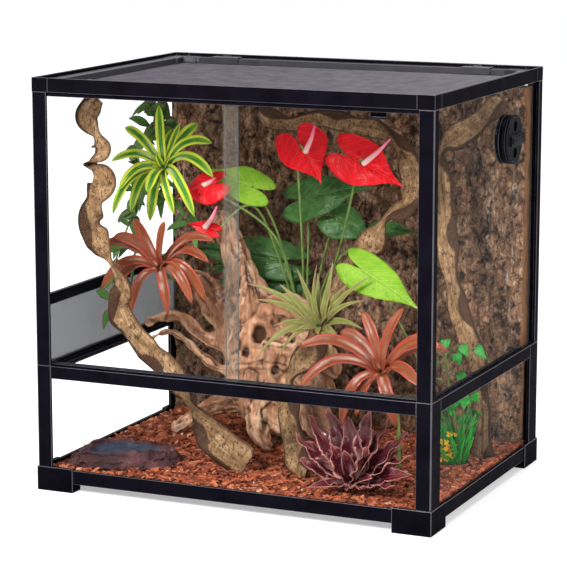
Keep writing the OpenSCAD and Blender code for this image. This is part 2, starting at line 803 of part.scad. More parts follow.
// A folded leaf from one point to another, arched by lift along up
module leaf(base, tip, lift, w, up, fold = 0.25, steps = 5) {
    peak = mix(base, tip, 0.45) + up * lift;
    m = 4;
    path = [for (i = [0:steps])
        let (t = i / steps)
        base * (1 - t) * (1 - t) + peak * 2 * t * (1 - t) + tip * t * t];
    rings = [for (i = [0:steps])
        let (t = i / steps,
             along = unit(path[min(steps, i + 1)] - path[max(0, i - 1)]),
             side = unit(cross(along, up)),
             face = unit(cross(side, along)),
             half = w / 2 * max(0.12, sin(20 + 158 * pow(t, 0.9))),
             dip = half * fold)
        for (q = [[-1, 0], [0, -dip], [1, 0], [0, -dip - leaf_t]])
            path[i] + side * half * q[0] + face * q[1]];
    polyhedron(rings, ring_faces(steps + 1, m));
}

// Leaves that spread from a core; each tip is [x, y, z] from the core
module rosette(core, tips, w, lift, up, stem = []) {
    translate(core) {
        sphere(w * 0.5, $fn = 8);
        for (tip = tips) {
            hull() {
                sphere(w * 0.24, $fn = 4);
                translate(unit(tip) * w * 0.8) sphere(w * 0.14, $fn = 4);
            }
            leaf(unit(tip) * w * 0.3, tip, lift * norm(tip), w, unit(up));
        }
    }
    if (len(stem) > 0) stalk(stem, 3);
}

module variegated_bromeliad() furnished() {
    color([0.55, 0.75, 0.15])
        rosette([-212, 8, 439],
                [[-7, 0, 93], [-56, -14, 59], [-66, -38, 12], [-52, -42, -30],
                 [-42, -26, -64], [-6, -34, -74], [66, -32, -64], [98, -36, -3],
                 [82, -6, 42], [48, 18, 66], [2, 30, 56], [4, -60, -28]],
                18, 0.2, [0.1, -0.8, 0.5],
                [[-212, 12, 432], [-236, 40, 426], [-254.6, 53, 428]]);
}

module bromeliads() furnished() {
    red = [0.72, 0.32, 0.24];
    color(red) difference() {
        rosette([-194, -44, 300],
                [[-22, -36, 76], [26, -32, 74], [-56, -36, 47], [-80, -34, 30],
                 [-74, -40, -29], [-62, -26, -34], [-32, -36, -70], [34, -40, -60],
                 [66, -26, -44], [78, -6, -43], [86, -12, 16], [90, -4, 46]],
                17, 0.2, [0, -0.8, 0.55],
                [[-194, -38, 294], [-190, 0, 276], [-188, 50, 276]]);
        stump(fit_gap);
    }
    color(red)
        rosette([166, -72, 183],
                [[-106, -44, -26], [-108, -38, 34], [-66, 8, 50], [-36, 18, 80],
                 [29, 10, 92], [78, 0, 52], [94, -18, 46], [-50, -26, -84],
                 [-28, -24, -62], [38, -34, -72], [70, -36, -6], [84, 44, 28]],
                20, 0.18, [0, -0.75, 0.6],
                [[166, -66, 176], [176, -36, 120], [178, -30, 36]]);
    color([0.5, 0.58, 0.25]) difference() {
        rosette([38, -22, 240],
                [[-72, -20, 23], [-66, -34, -56], [-92, -6, 41], [5, 12, 60],
                 [60, -30, -32], [88, -4, 64], [52, 6, 50], [86, -22, 34],
                 [-25, 10, 64], [-22, -30, -32], [88, -30, -3], [28, 10, 78]],
                12, 0.14, [0, -0.7, 0.6],
                [[37, -20, 238], [12, 14, 226], [-6, 52, 222]]);
        stump(fit_gap);
    }
}

module agave() furnished() {
    color([0.45, 0.13, 0.15]) intersection() {
        rosette([160, -158, 44],
                [[-84, -8, 62], [-74, 14, 86], [-48, 20, 98], [-12, 8, 92],
                 [18, 16, 104], [45, 20, 90], [78, 6, 78], [90, -8, 48],
                 [-70, -26, 32], [-34, -38, 8], [34, -40, 6], [74, -34, 10],
                 [92, -22, 26], [-20, -28, 58], [34, -30, 62], [-60, 30, 40],
                 [60, 34, 50]],
                26, 0.1, [0, -0.2, 1]);
        translate([-drawn_x, -drawn_y, drawn_seat]) cube([2 * drawn_x, 2 * drawn_y, drawn_top]);
    }
}

// A heart-shaped blade from its stalk to its tip, facing along n
module heart(base, tip, half, n, cup = 0.12) {
    along = tip - base;
    reach = norm(along);
    a = unit(along);
    side = unit(cross(n, a));
    face = unit(cross(a, side));
    steps = 18;
    ring = [for (i = [0:steps - 1])
        let (t = i * 360 / steps,
             y = 13 * cos(t) - 5 * cos(2 * t) - 2 * cos(3 * t) - cos(4 * t),
             x = pow(sin(t), 3))
        base + a * reach * (5 - y) / 22 + side * half * x
            - face * reach * cup * (abs(x) * 0.5 + max(0, -y) / 17)];
    mid = base + a * reach * 0.35;
    points = concat(ring, [for (p = ring) p - face * leaf_t],
                    [mid + face * leaf_t * 0.5, mid - face * leaf_t]);
    n0 = steps;
    polyhedron(points, concat(
        [for (i = [0:n0 - 1]) [i, (i + 1) % n0, 2 * n0]],
        [for (i = [0:n0 - 1]) [n0 + (i + 1) % n0, n0 + i, 2 * n0 + 1]],
        [for (i = [0:n0 - 1]) [i, n0 + i, n0 + (i + 1) % n0]],
        [for (i = [0:n0 - 1]) [i, n0 + (i + 1) % n0, (i + 1) % n0]]));
}

// A thin stalk through points
module stalk(p, r) {
    limb([for (q = p) [q[0], q[1], q[2], r]], 0, 6);
}

module anthurium() furnished() {
    root = [-46, 140, 36];
    fork = [-40, 136, 170];
    // Each flower: stalk's bend and end, base and tip of the spathe, its half width and
    // facing, tip of the spadix
    flowers = [
        [[-60, 80, 330], [-128, 32, 412], [-112, 30, 434], [-180, 10, 395], 27,
            [0.3, -0.5, 0.8], [-122, 46, 452]],
        [[-20, 78, 330], [-4, 32, 468], [-15, 26, 487], [38, 16, 439], 36,
            [0.5, -0.7, 0.5], [29, 10, 513]],
        [[30, 92, 310], [84, 28, 456], [52, 24, 468], [152, 20, 431], 38,
            [0, -0.9, 0.4], [140, 6, 496]],
        [[-86, 68, 376], [-136, 27, 348], [-134, 22, 352], [-176, 16, 362], 14,
            [0, -0.8, 0.5], [-131, 16, 385]]];
    // Each leaf: stalk's bend and end, tip of the blade, half width
    leaves = [
        [[-30, 124, 330], [-22, 108, 377], [71, 104, 410], 34],
        [[-4, 126, 310], [28, 118, 372], [68, 114, 338], 20],
        [[10, 124, 290], [37, 112, 326], [86, 104, 378], 30],
        [[-60, 140, 270], [-92, 122, 296], [-232, 110, 314], 34],
        [[-52, 136, 250], [-80, 128, 270], [-205, 118, 284], 26],
        [[-110, 140, 200], [-156, 122, 242], [-204, 112, 198], 28],
        [[-66, 92, 340], [-98, 64, 398], [-130, 52, 450], 31]];
    color([0.25, 0.5, 0.2]) intersection() {
        union() {
            stalk([root, fork], 5);
            for (f = flowers)
                stalk([fork, f[0], f[1], mix(f[2], f[3], 0.2)], 2.2);
            for (l = leaves)
                stalk([fork, l[0], l[1]], 2);
        }
        translate([-drawn_x, -drawn_y, drawn_seat]) cube([2 * drawn_x, 2 * drawn_y, drawn_top]);
    }
    color([0.85, 0.06, 0.1]) for (f = flowers) {
        heart(f[2], f[3], f[4], unit(f[5]));
        stalk([mix(f[2], f[3], 0.2), f[6]], 3);
    }
    color(leaf_green) for (l = leaves)
        heart(l[1], l[2], l[3], unit([0.1, -0.8, 0.5]));
}

module foliage() furnished() {
    vine = [[-280, 62, 568.2], [-256, 60, 548], [-252, 60, 520], [-256, 60, 486], [-262, 56, 446],
            [-266, 42, 404], [-270, 24, 372], [-273, 0, 338], [-273, -28, 306], [-272, -48, 262],
            [-270, -52, 226]];
    vine_leaves = [[-2, -4, -26], [22, -10, -20], [-8, -14, -24], [20, -6, 12]];
    color([0.2, 0.4, 0.15]) {
        stalk(vine, 2.2);
        for (i = [1:len(vine) - 2], k = [0, 1])
            leaf(vine[i], vine[i] + vine_leaves[(i + 2 * k) % 4] * 1.2, 4, 14,
                 unit([0.1, -0.9, 0.3]), 0.2, 4);
    }
    color([0.45, 0.75, 0.12]) {
        stalk([[196, 62, 34.85], [184, 52, 150], [150, 16, 250], [122, -6, 305], [135, -12, 304]], 2);
        heart([114, -8.5, 312], [200, -24.5, 276], 33, unit([0, -0.8, 0.6]));
    }
    color([0.1, 0.55, 0.12]) {
        for (i = [0:8])
            leaf([236 + 2 * (i % 3), 38 + 2 * floor(i / 3), 35],
                 [222 + 5 * i, 20 + 7 * (i % 4), 92 + 18 * ((i * 5) % 4)], 6, 12,
                 unit([0, -0.9, 0.2]), 0.2, 4);
        stalk([[240, 40, 34.9], [232, 30, 130], [226, 24, 196]], 1.6);
        for (q = [[214, 16, 190], [238, 16, 176], [224, 14, 160], [246, 22, 150]])
            leaf(mix([232, 30, 130], [226, 24, 196], (q[2] - 142) / 56), q, 5, 14,
                 unit([0, -0.9, 0.3]), 0.2, 4);
    }
    color([0.9, 0.65, 0.1]) for (i = [0:5])
        hull() {
            translate([238, 38, 42]) sphere(1.2, $fn = 4);
            translate([222 + 4 * i, 22 + 2 * (i % 2), 58 + 6 * ((i * 2) % 3)])
                sphere(3, $fn = 6);
        }
}

foot(0, 0);  // foot_front_left
foot(1, 0);  // foot_front_right
foot(0, 1);  // foot_rear_left
foot(1, 1);  // foot_rear_right
bottom_rail(0);  // bottom_rail_front
bottom_rail(1);  // bottom_rail_right
bottom_rail(2);  // bottom_rail_rear
bottom_rail(3);  // bottom_rail_left
lower_post(0, 0);  // lower_post_front_left
lower_post(1, 0);  // lower_post_front_right
lower_post(0, 1);  // lower_post_rear_left
lower_post(1, 1);  // lower_post_rear_right
mid_rail(0);  // mid_rail_front
mid_rail(1);  // mid_rail_right
mid_rail(2);  // mid_rail_rear
mid_rail(3);  // mid_rail_left
upper_post(0, 0);  // upper_post_front_left
upper_post(1, 0);  // upper_post_front_right
upper_post(0, 1);  // upper_post_rear_left
upper_post(1, 1);  // upper_post_rear_right
top_rail(0);  // top_rail_front
top_rail(1);  // top_rail_right
top_rail(2);  // top_rail_rear
top_rail(3);  // top_rail_left
top_corner_caps();
bottom_panel();
lower_pane(0);  // lower_front_glass
lower_pane(1);  // lower_right_glass
lower_pane(2);  // lower_rear_glass
lower_pane(3);  // lower_left_glass
upper_pane(2, mid_shelf_top + fit_gap);  // upper_rear_glass
upper_pane(3, vent_top + fit_gap);  // upper_left_glass
upper_right_glass();
left_door();
right_door();
lower_door_track();
upper_door_track();
track_clip();
vent_frame();
vent_mesh();
lid_bars();
lid_corners();
lid_mesh();
latch(-1);  // left_latch
latch(1);  // right_latch
cable_gate(-1);  // left_cable_gate
cable_gate(1);  // right_cable_gate
port_body();
port_nut();
port_cover();
substrate();
background_panel();
water_dish();
driftwood();
bark_ribbons();
variegated_bromeliad();
bromeliads();
anthurium();
agave();
foliage();
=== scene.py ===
"""Looks of the furnished glass terrarium. Lengths in the builders' tables are millimetres."""

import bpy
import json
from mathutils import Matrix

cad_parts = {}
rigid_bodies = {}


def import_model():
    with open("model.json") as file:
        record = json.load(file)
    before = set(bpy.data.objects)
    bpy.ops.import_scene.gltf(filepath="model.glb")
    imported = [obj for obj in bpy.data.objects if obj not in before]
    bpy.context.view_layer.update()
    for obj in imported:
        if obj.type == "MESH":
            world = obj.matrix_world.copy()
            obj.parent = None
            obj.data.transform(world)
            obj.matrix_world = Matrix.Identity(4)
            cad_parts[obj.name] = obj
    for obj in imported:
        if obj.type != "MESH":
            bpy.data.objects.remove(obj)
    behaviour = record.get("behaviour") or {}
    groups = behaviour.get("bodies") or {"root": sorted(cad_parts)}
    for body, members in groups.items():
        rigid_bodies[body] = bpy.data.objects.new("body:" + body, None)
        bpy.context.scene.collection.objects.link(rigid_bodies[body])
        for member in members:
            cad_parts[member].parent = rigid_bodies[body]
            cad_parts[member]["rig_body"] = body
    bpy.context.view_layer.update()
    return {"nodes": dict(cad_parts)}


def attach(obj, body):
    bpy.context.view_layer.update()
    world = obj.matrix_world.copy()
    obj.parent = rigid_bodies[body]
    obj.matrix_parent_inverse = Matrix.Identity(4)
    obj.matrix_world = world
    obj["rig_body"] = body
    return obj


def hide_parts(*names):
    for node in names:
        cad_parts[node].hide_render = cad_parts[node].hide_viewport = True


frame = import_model()

import json
import math
import bmesh
import bpy
import numpy as np
from mathutils import Vector

MM = 0.001
SCENE = bpy.context.scene
UP = np.array([0.0, 0.0, 1.0])
rng = np.random.default_rng

# Inner limits of the glass box, the soil's top and underside, and the dish's corner
HALF_X = 289.0
HALF_Y = 214.0
SOIL_TOP = 33.3
SOIL_FOOT = 22.4
DISH_AT = (-278, -203)


# ---------- numbers ----------

def lattice(i, seed):
    """A repeatable number 0..1 for each whole-number point."""
    h = (i[..., 0] * 374761393 + i[..., 1] * 668265263 + i[..., 2] * 974711 + seed * 1274126177)
    h = h & 0xFFFFFFFF
    h = ((h ^ (h >> 13)) * 1274126177) & 0xFFFFFFFF
    return ((h ^ (h >> 16)) & 0xFFFF) / 65535.0


def value_noise(p, seed):
    """Smooth noise 0..1 at the points p (..., 3)."""
    i = np.floor(p).astype(np.int64)
    f = p - i
    f = f * f * (3 - 2 * f)
    out = 0.0
    for corner in np.ndindex(2, 2, 2):
        w = np.where(corner, f, 1 - f)
        out = out + w[..., 0] * w[..., 1] * w[..., 2] * lattice(i + corner, seed)
    return out


def fbm(p, octaves, seed):
    """Noise of several scales, about -1..1, at the points p (..., 3). Each is 2.03 times finer
    than the last, and shifted, so that their cells don't line up."""
    out = 0.0
    for k in range(octaves):
        out = out + 0.5 ** k * (2 * value_noise(p * 2.03 ** k + 17.3 * k, seed + k) - 1)
    return out / (2 - 0.5 ** (octaves - 1))


def field(x, y, z, octaves, seed):
    """The same noise for three coordinates given apart."""
    return fbm(np.stack(np.broadcast_arrays(x, y, z), -1), octaves, seed)


def unit(v):
    v = np.asarray(v, float)
    return v / np.maximum(np.linalg.norm(v, axis=-1, keepdims=True), 1e-9)


def turned(a, b, angle):
    """Two coordinates, or two vectors, turned by an angle in their plane."""
    c, s = np.cos(angle), np.sin(angle)
    return a * c - b * s, a * s + b * c


def curve_points(stations, n, closed=False):
    """A smooth curve through the stations, any number of columns: n + 1 points along an open
    curve, n points round a closed one."""
    p = np.asarray(stations, float)
    m = len(p) if closed else len(p) - 1
    s = np.arange(n) * m / n if closed else np.linspace(0, m, n + 1)
    k = np.minimum(s.astype(int), m - 1)
    t = (s - k)[:, None]
    a, b, c, d = (p[(k + q) % m if closed else (k + q).clip(0, m)] for q in (-1, 0, 1, 2))
    return 0.5 * (2 * b + (c - a) * t + (2 * a - 5 * b + 4 * c - d) * t ** 2
                  + (3 * b - a - 3 * c + d) * t ** 3)


def run_along(path):
    """The distance from the start at each point of a path."""
    return np.append(0, np.cumsum(np.linalg.norm(np.diff(path, axis=0), axis=1)))


def frames_along(path, up):
    """Unit tangent, side and face vectors along a path, with up as the face's guide."""
    tangent = unit(np.gradient(path, axis=0))
    side = unit(np.cross(tangent, up))
    return tangent, side, np.cross(side, tangent)


# ---------- meshes ----------

def new_object(name, data):
    obj = bpy.data.objects.new(name, data)
    SCENE.collection.objects.link(obj)
    return obj


def ride(obj, node, slot=None, body="enclosure"):
    """Puts a piece on its body, in place of a construction part."""
    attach(obj, body)
    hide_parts(node)


def set_tag(mesh, key, values):
    """Stores a number or a vector at each point, for materials to read."""
    values = np.asarray(values, np.float32)
    kind, member = ("FLOAT", "value") if values.ndim == 1 else ("FLOAT_VECTOR", "vector")
    mesh.attributes.new(key, kind, "POINT").data.foreach_set(member, values.ravel())


def add_mesh(name, verts, faces, material, tags, smooth=True, **place):
    """A piece from points in millimetres and faces; place says what it stands for."""
    mesh = bpy.data.meshes.new(name)
    mesh.from_pydata((verts * MM).tolist(), [], faces)
    mesh.update()
    for key, values in tags.items():
        set_tag(mesh, key, values)
    if smooth:
        mesh.shade_smooth()
    mesh.materials.append(material)
    obj = new_object(name, mesh)
    ride(obj, **place)
    return obj


def grid_faces(rows, cols, start=0, wrap=False):
    """Quads of a grid of rows x cols points, row by row; wrap joins the last column to the first."""
    r = np.arange(rows - 1)[:, None]
    c = np.arange(cols if wrap else cols - 1)[None, :]
    d = (c + 1) % cols
    f = np.stack([r * cols + c, r * cols + d, (r + 1) * cols + d, (r + 1) * cols + c], -1)
    return (f.reshape(-1, 4) + start).tolist()


def slab(grid, axis, level):
    """A grid of points closed by walls down to a flat back, at a level of one axis: the points,
    the faces and the numbers of the points on the border."""
    rows, cols = grid.shape[:2]
    n = rows * cols
    at = np.arange(n).reshape(rows, cols)
    rim = np.concatenate([at[0], at[1:, -1], at[-1, -2::-1], at[-2:0:-1, 0]])
    back = grid.reshape(-1, 3)[rim]
    back[:, axis] = level
    here = np.arange(len(rim))
    ahead = np.roll(here, -1)
    walls = np.stack([rim[ahead], rim, n + here, n + ahead], -1)
    faces = grid_faces(rows, cols) + walls.tolist() + [(n + here)[::-1].tolist()]
    return np.concatenate([grid.reshape(-1, 3), back]), faces, rim


class Pool:
    """Collects the points, faces and tags of many small shapes into one mesh."""

    def __init__(self):
        self.verts = []
        self.faces = []
        self.tags = {}
        self.count = 0

    def add(self, verts, faces, **tags):
        verts = np.reshape(verts, (-1, 3))
        self.verts.append(verts)
        self.faces += [[i + self.count for i in f] for f in faces]
        for key, values in tags.items():
            self.tags.setdefault(key, []).append(values)
        self.count += len(verts)

    def make(self, name, material, **place):
        tags = {key: np.concatenate(values) for key, values in self.tags.items()}
        return add_mesh(name, np.concatenate(self.verts), self.faces, material, tags, **place)


def leaves(pool, name, material, mm, **place):
    """A pool of blades as one piece, with a thickness."""
    thickness = pool.make(name, material, **place).modifiers.new("Thickness", "SOLIDIFY")
    thickness.thickness = mm * MM


def tube(pool, points, radius, n=16, sides=8):
    """A round stem through the points; radius is a number or one for each station."""
    path = curve_points(points, n)
    t = np.linspace(0, 1, n + 1)
    radius = np.interp(t, np.linspace(0, 1, np.size(radius)), np.atleast_1d(radius))
    _, side, face = frames_along(path, [0.31, -0.83, 0.46])
    a = np.arange(sides)[:, None] * 2 * math.pi / sides
    ring = path[:, None] + radius[:, None, None] * (np.cos(a) * side[:, None]
                                                    + np.sin(a) * face[:, None])
    end = (n + 1) * sides
    faces = grid_faces(n + 1, sides, wrap=True)
    faces += [[(i + 1) % sides, i, end] for i in range(sides)]
    faces += [[end - sides + i, end - sides + (i + 1) % sides, end + 1] for i in range(sides)]
    pool.add(np.concatenate([ring.reshape(-1, 3), path[:1], path[-1:]]),
             [f[::-1] for f in faces], along=np.append(np.repeat(t, sides), [0, 1]))


def blade(pool, base, tip, width, up, shape, seed, lift=0.0, fold=0.25, nl=16, nw=4, twist=0.0,
          droop=0.0, wave=0.0, teeth=0.0, bend=(0, 0, 0)):
    """A strap leaf from base to tip that faces up; lift and bend move its middle. shape is the
    width at the base, where it is widest, and how blunt the tip is. nl and nw are its cells along
    and across."""
    r = rng(seed)
    base, tip, up = np.asarray(base, float), np.asarray(tip, float), unit(up)
    t = np.linspace(0, 1, nl + 1)[:, None]
    peak = base + (tip - base) * 0.45 + up * lift + bend
    path = base * (1 - t) ** 2 + peak * 2 * t * (1 - t) + tip * t ** 2 - UP * droop * t ** 3
    _, side, face = frames_along(path, up)
    a = np.radians(twist * t + wave * np.sin(t * 9 + r.uniform(0, 6)) * 0.2)
    side, face = turned(side, face, -a)
    t = t[:, 0]
    at_base, widest, blunt = shape
    rise = at_base + (1 - at_base) * np.sin(np.clip(t / widest, 0, 1) * math.pi / 2)
    fall = np.clip(1 - np.clip((t - widest) / (1 - widest), 0, 1) ** blunt, 0, 1) ** 0.8
    half = np.maximum(width / 2 * np.where(t < widest, rise, fall), width * 0.012)[:, None]
    s = np.linspace(-1, 1, nw + 1)
    edge = np.ones((nl + 1, nw + 1))
    if teeth:
        edge[:, [0, -1]] = 1 + teeth * (2 * r.random((nl + 1, 2)) - 1)
    across = s * half * edge
    depth = (np.abs(s) - 1) * half * fold
    depth = depth + wave * np.sin(t * 23 + r.uniform(0, 6))[:, None] * s ** 2 * width * 0.004
    verts = path[:, None] + across[..., None] * side[:, None] + depth[..., None] * face[:, None]
    leaf = np.stack(np.broadcast_arrays(t[:, None], s, r.random()), -1)
    pool.add(verts, grid_faces(nl + 1, nw + 1), leaf=leaf.reshape(-1, 3))


def heart(pool, base, tip, half, facing, lobes, seed, rings, steps, cup=0.12, droop=0.0, veins=0.5,
          roll=0.0, side_bend=0.0):
    """A heart-shaped blade with raised fields between its veins; rings and steps are its cells
    outwards and round."""
    r = rng(seed)
    base, tip = np.asarray(base, float), np.asarray(tip, float)
    reach = np.linalg.norm(tip - base)
    a = (tip - base) / reach
    side = unit(np.cross(facing, a))
    face = np.cross(a, side)
    th = np.arange(steps) * 2 * math.pi / steps
    u = (5 - 13 * np.cos(th) + 5 * np.cos(2 * th) + 2 * np.cos(3 * th) + np.cos(4 * th)) / 22
    u = np.where(u < 0.16, 0.16 + (u - 0.16) * lobes, u)
    wob = 1 + 0.035 * np.sin(th * 5 + r.uniform(0, 6)) + 0.02 * np.sin(th * 9 + r.uniform(0, 6))
    centre = 0.2
    f = np.arange(1, rings + 1)[:, None] / rings
    uu = np.append(centre, centre + (u - centre) * f)
    xx = np.append(0, np.sin(th) ** 3 * wob * f)
    off = np.abs(xx)
    vein = np.abs(((uu - off * 0.42) * 7.5) % 1 - 0.5) * 2
    relief = veins * reach * 0.016 * (1 - vein ** 3) * np.minimum(1, off * 5)
    relief -= veins * reach * 0.02 * np.exp(-(xx / 0.06) ** 2)
    bend = -reach * cup * (off * 0.5 + np.maximum(0, uu - 0.2) ** 2)
    bend += reach * 0.02 * np.sin(uu * 9 + r.uniform(0, 6)) * off
    bend += half * (roll * xx + side_bend * np.maximum(0, xx) ** 2)
    sag = droop * np.maximum(0, uu) ** 2
    pos = base + (a * (reach * uu)[:, None] + side * (half * xx)[:, None]
                  + face * (bend + relief)[:, None] - UP * sag[:, None])
    faces = [[0, 1 + (i + 1) % steps, 1 + i] for i in range(steps)]
    faces += grid_faces(rings, steps, start=1, wrap=True)
    pool.add(pos, faces, leaf=np.stack(np.broadcast_arrays(uu, xx, r.random()), -1))


# ---------- materials ----------

class Mat:
    """A node material, or the world's nodes. Sockets passed as inputs are linked, plain values
    are set."""

    def __init__(self, name, library=bpy.data.materials):
        self.m = library.new(name)
        self.m.use_nodes = True
        self.t = self.m.node_tree
        self.t.nodes.clear()
        self.pos = self.add("TexCoord").outputs["Object"]

    def add(self, kind, ins=None, **props):
        n = self.t.nodes.new("ShaderNode" + kind)
        for k, v in props.items():
            setattr(n, k, v)
        for k, v in (ins or {}).items():
            socket = n.inputs[k]
            if isinstance(v, bpy.types.NodeSocket):
                self.t.links.new(v, socket)
            else:
                socket.default_value = (*v, 1) if socket.type == "RGBA" else v
        return n

    def math(self, op, a, b=0.0, c=0.0):
        return self.add("Math", {0: a, 1: b, 2: c}, operation=op).outputs[0]

    def mul(self, a, b):
        return self.math("MULTIPLY", a, b)

    def weigh(self, *parts):
        """The sum of values, each given with its weight."""
        total = 0.0
        for value, weight in parts:
            total = self.math("MULTIPLY_ADD", value, weight, total)
        return total

    def noise(self, scale, detail, rough=0.5, stretch=None, vec=None, distort=0.0):
        v = vec or self.pos
        if stretch:
            v = self.add("Mapping", {"Vector": v, "Scale": stretch}).outputs[0]
        return self.add("TexNoise", {"Vector": v, "Scale": scale, "Detail": detail,
                                     "Roughness": rough, "Distortion": distort}).outputs["Fac"]

    def cells(self, scale, stretch=(1, 1, 1), **props):
        v = self.add("Mapping", {"Vector": self.pos, "Scale": stretch}).outputs[0]
        return self.add("TexVoronoi", {"Vector": v, "Scale": scale}, **props).outputs["Distance"]

    def ramp(self, fac, *stops):
        n = self.add("ValToRGB", {"Fac": fac})
        e = n.color_ramp.elements
        for i, (at, c) in enumerate(stops):
            s = e[i] if i < 2 else e.new(at)
            s.position = at
            s.color = (*c, 1) if isinstance(c, tuple) else (c, c, c, 1)
        return n.outputs["Color"]

    def mix(self, fac, a, b):
        return self.add("Mix", {"Factor": fac, 6: a, 7: b}, data_type="RGBA").outputs[2]

    def over(self, base, fac, low, high, color):
        """The base with a colour laid over it, as far as a ramp from low to high says."""
        return self.mix(self.ramp(fac, low, high), base, color)

    def tag(self, name, output="Fac"):
        return self.add("Attribute", attribute_name=name).outputs[output]

    def axis(self, vector, name):
        return self.add("SeparateXYZ", {0: vector}).outputs[name]

    def bump(self, height, strength, dist):
        ins = {"Height": height, "Strength": strength, "Distance": dist}
        return self.add("Bump", ins).outputs[0]

    def principled(self, color, rough, spec, more=None):
        ins = {"Base Color": color, "Roughness": rough, "Specular IOR Level": spec}
        return self.add("BsdfPrincipled", {**ins, **(more or {})}).outputs[0]

    def blend(self, fac, a, b):
        return self.add("MixShader", {0: fac, 1: a, 2: b}).outputs[0]

    def show(self, shader, output="OutputMaterial"):
        """Ends the material with a shader."""
        self.add(output, {"Surface": shader})
        return self.m

    def surface(self, color, rough, spec, height, strength, dist):
        """Ends the material with a plain surface, with bumps at most dist metres deep."""
        normal = self.bump(height, strength, dist)
        return self.show(self.principled(color, rough, spec, {"Normal": normal}))


def black_plastic(name, low, high, rough, spec=0.25):
    m = Mat(name)
    color = m.ramp(m.noise(26, 3, 0.6), (0.3, low), (0.7, high))
    gloss = m.ramp(m.noise(55, 3, 0.6), (0.3, rough - 0.06), (0.7, rough + 0.08))
    return m.surface(color, gloss, spec, m.noise(900, 2, 0.6), 0.12, 0.0002)


def glass_material(name, tint, edge, door=False, painted_reflection_from=None):
    """Thin clear pane: see-through faces, tinted cut edges. Beyond the x given last, a grey diffuse band
    lies on it: a painted reflection where the doors overlap.
    """
    m = Mat(name)
    geo = m.add("NewGeometry").outputs
    clear = m.add("BsdfTransparent", {"Color": tint}).outputs[0]
    gloss = m.add("BsdfGlossy", {"Color": (1, 1, 1), "Roughness": 0.015}).outputs[0]
    outer = m.math("SUBTRACT", 1.0, geo["Backfacing"])
    shine = m.mul(m.add("Fresnel", {"IOR": 1.14}).outputs[0], outer)
    pane = m.blend(m.mul(shine, m.ramp(m.noise(9, 2), (0.2, 0.16), (0.8, 0.28))), clear, gloss)
    if painted_reflection_from:
        # A grey diffuse band past that x on the outer door: painted reflection of the overlapping panes.
        painted_reflection = m.add("BsdfDiffuse", {"Color": (0.20, 0.175, 0.145)}).outputs[0]
        beyond = m.math("GREATER_THAN", m.axis(m.pos, "X"), painted_reflection_from)
        painted_reflection_amount = m.ramp(m.noise(40, 3), (0.3, 0.12), (0.7, 0.17))
        pane = m.blend(m.mul(beyond, painted_reflection_amount), pane, painted_reflection)
    flat = m.math("ABSOLUTE", m.axis(geo["Normal"], "Y"))
    if not door:
        flat = m.math("MAXIMUM", flat, m.math("ABSOLUTE", m.axis(geo["Normal"], "X")))
    cut = m.blend(0.35, m.principled(edge, 0.25, 0.5), clear)
    return m.show(m.blend(m.math("LESS_THAN", flat, 0.7), pane, cut))


def wire_material(name, dark, light):
    m = Mat(name)
    weave = m.noise(2200, 1)
    return m.surface(m.ramp(m.noise(60, 3), (0.3, dark), (0.7, light)),
                     m.ramp(weave, (0.2, 0.42), (0.8, 0.6)), 0.35, weave, 0.3, 0.0001)


PLASTIC = black_plastic("satin_black_frame", (0.0025, 0.002, 0.004), (0.0045, 0.004, 0.007),
                        0.40, 0.003)
# A lighter, glossier black for the rounded frame edges: a painted highlight along them.
EDGE = black_plastic("black_edge_painted_highlight", (0.030, 0.028, 0.036), (0.060, 0.056, 0.070), 0.3, 0.5)
FEET = black_plastic("moulded_black_feet", (0.002, 0.0018, 0.003), (0.004, 0.0035, 0.006),
                     0.5, 0.003)
LID = black_plastic("moulded_black_lid", (0.008, 0.007, 0.011), (0.013, 0.012, 0.017), 0.42, 0.5)
GLOSS = black_plastic("gloss_black_fittings", (0.0035, 0.0035, 0.005), (0.005, 0.005, 0.007),
                      0.34, 0.008)
PANEL = black_plastic("black_base_panel", (0.010, 0.010, 0.012), (0.018, 0.018, 0.02), 0.55)
PANE = glass_material("clear_glass", (0.985, 0.995, 0.992), (0.10, 0.16, 0.17))
DOOR = glass_material("door_glass", (0.985, 0.99, 0.985), (0.13, 0.19, 0.22), door=True)
# The outer door carries the band of painted reflection where the two doors overlap.
OUTER_DOOR = glass_material("outer_door_glass", (0.985, 0.99, 0.985), (0.13, 0.19, 0.22),
                            door=True, painted_reflection_from=-0.0085)
LID_WIRE = wire_material("lid_mesh_wire", (0.030, 0.026, 0.034), (0.060, 0.053, 0.066))
VENT_WIRE = wire_material("vent_mesh_wire", (0.065, 0.067, 0.085), (0.11, 0.113, 0.14))


# ---------- frame, glass and fittings ----------

def moulded(node, material, width, slot):
    """A copy of a CAD part with its edges rounded as moulded plastic has them, and a lighter material on
    the rounded edges as a painted highlight.
    """
    src = frame["nodes"][node]
    mesh = src.data.copy()
    mesh.name = node + "_moulded"
    bm = bmesh.new()
    bm.from_mesh(mesh)
    bmesh.ops.remove_doubles(bm, verts=bm.verts, dist=1e-5)
    bmesh.ops.dissolve_limit(bm, angle_limit=math.radians(1), verts=bm.verts, edges=bm.edges)
    bm.to_mesh(mesh)
    bm.free()
    mesh.materials.clear()
    mesh.materials.append(material)
    mesh.materials.append(EDGE)
    mesh.shade_smooth()
    mesh.set_sharp_from_angle(angle=math.radians(34))
    obj = new_object(node + "_moulded", mesh)
    mod = obj.modifiers.new("Edges", "BEVEL")
    mod.width = width * MM
    mod.segments = 2
    mod.limit_method = "ANGLE"
    mod.angle_limit = math.radians(40)
    mod.harden_normals = True
    # The bevel's faces take the lighter edge material: painted highlight along every rounded edge.
    mod.material = 1
    ride(obj, node, slot, src["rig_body"])


def paint(node, material):
    mesh = frame["nodes"][node].data
    mesh.materials.clear()
    mesh.materials.append(material)


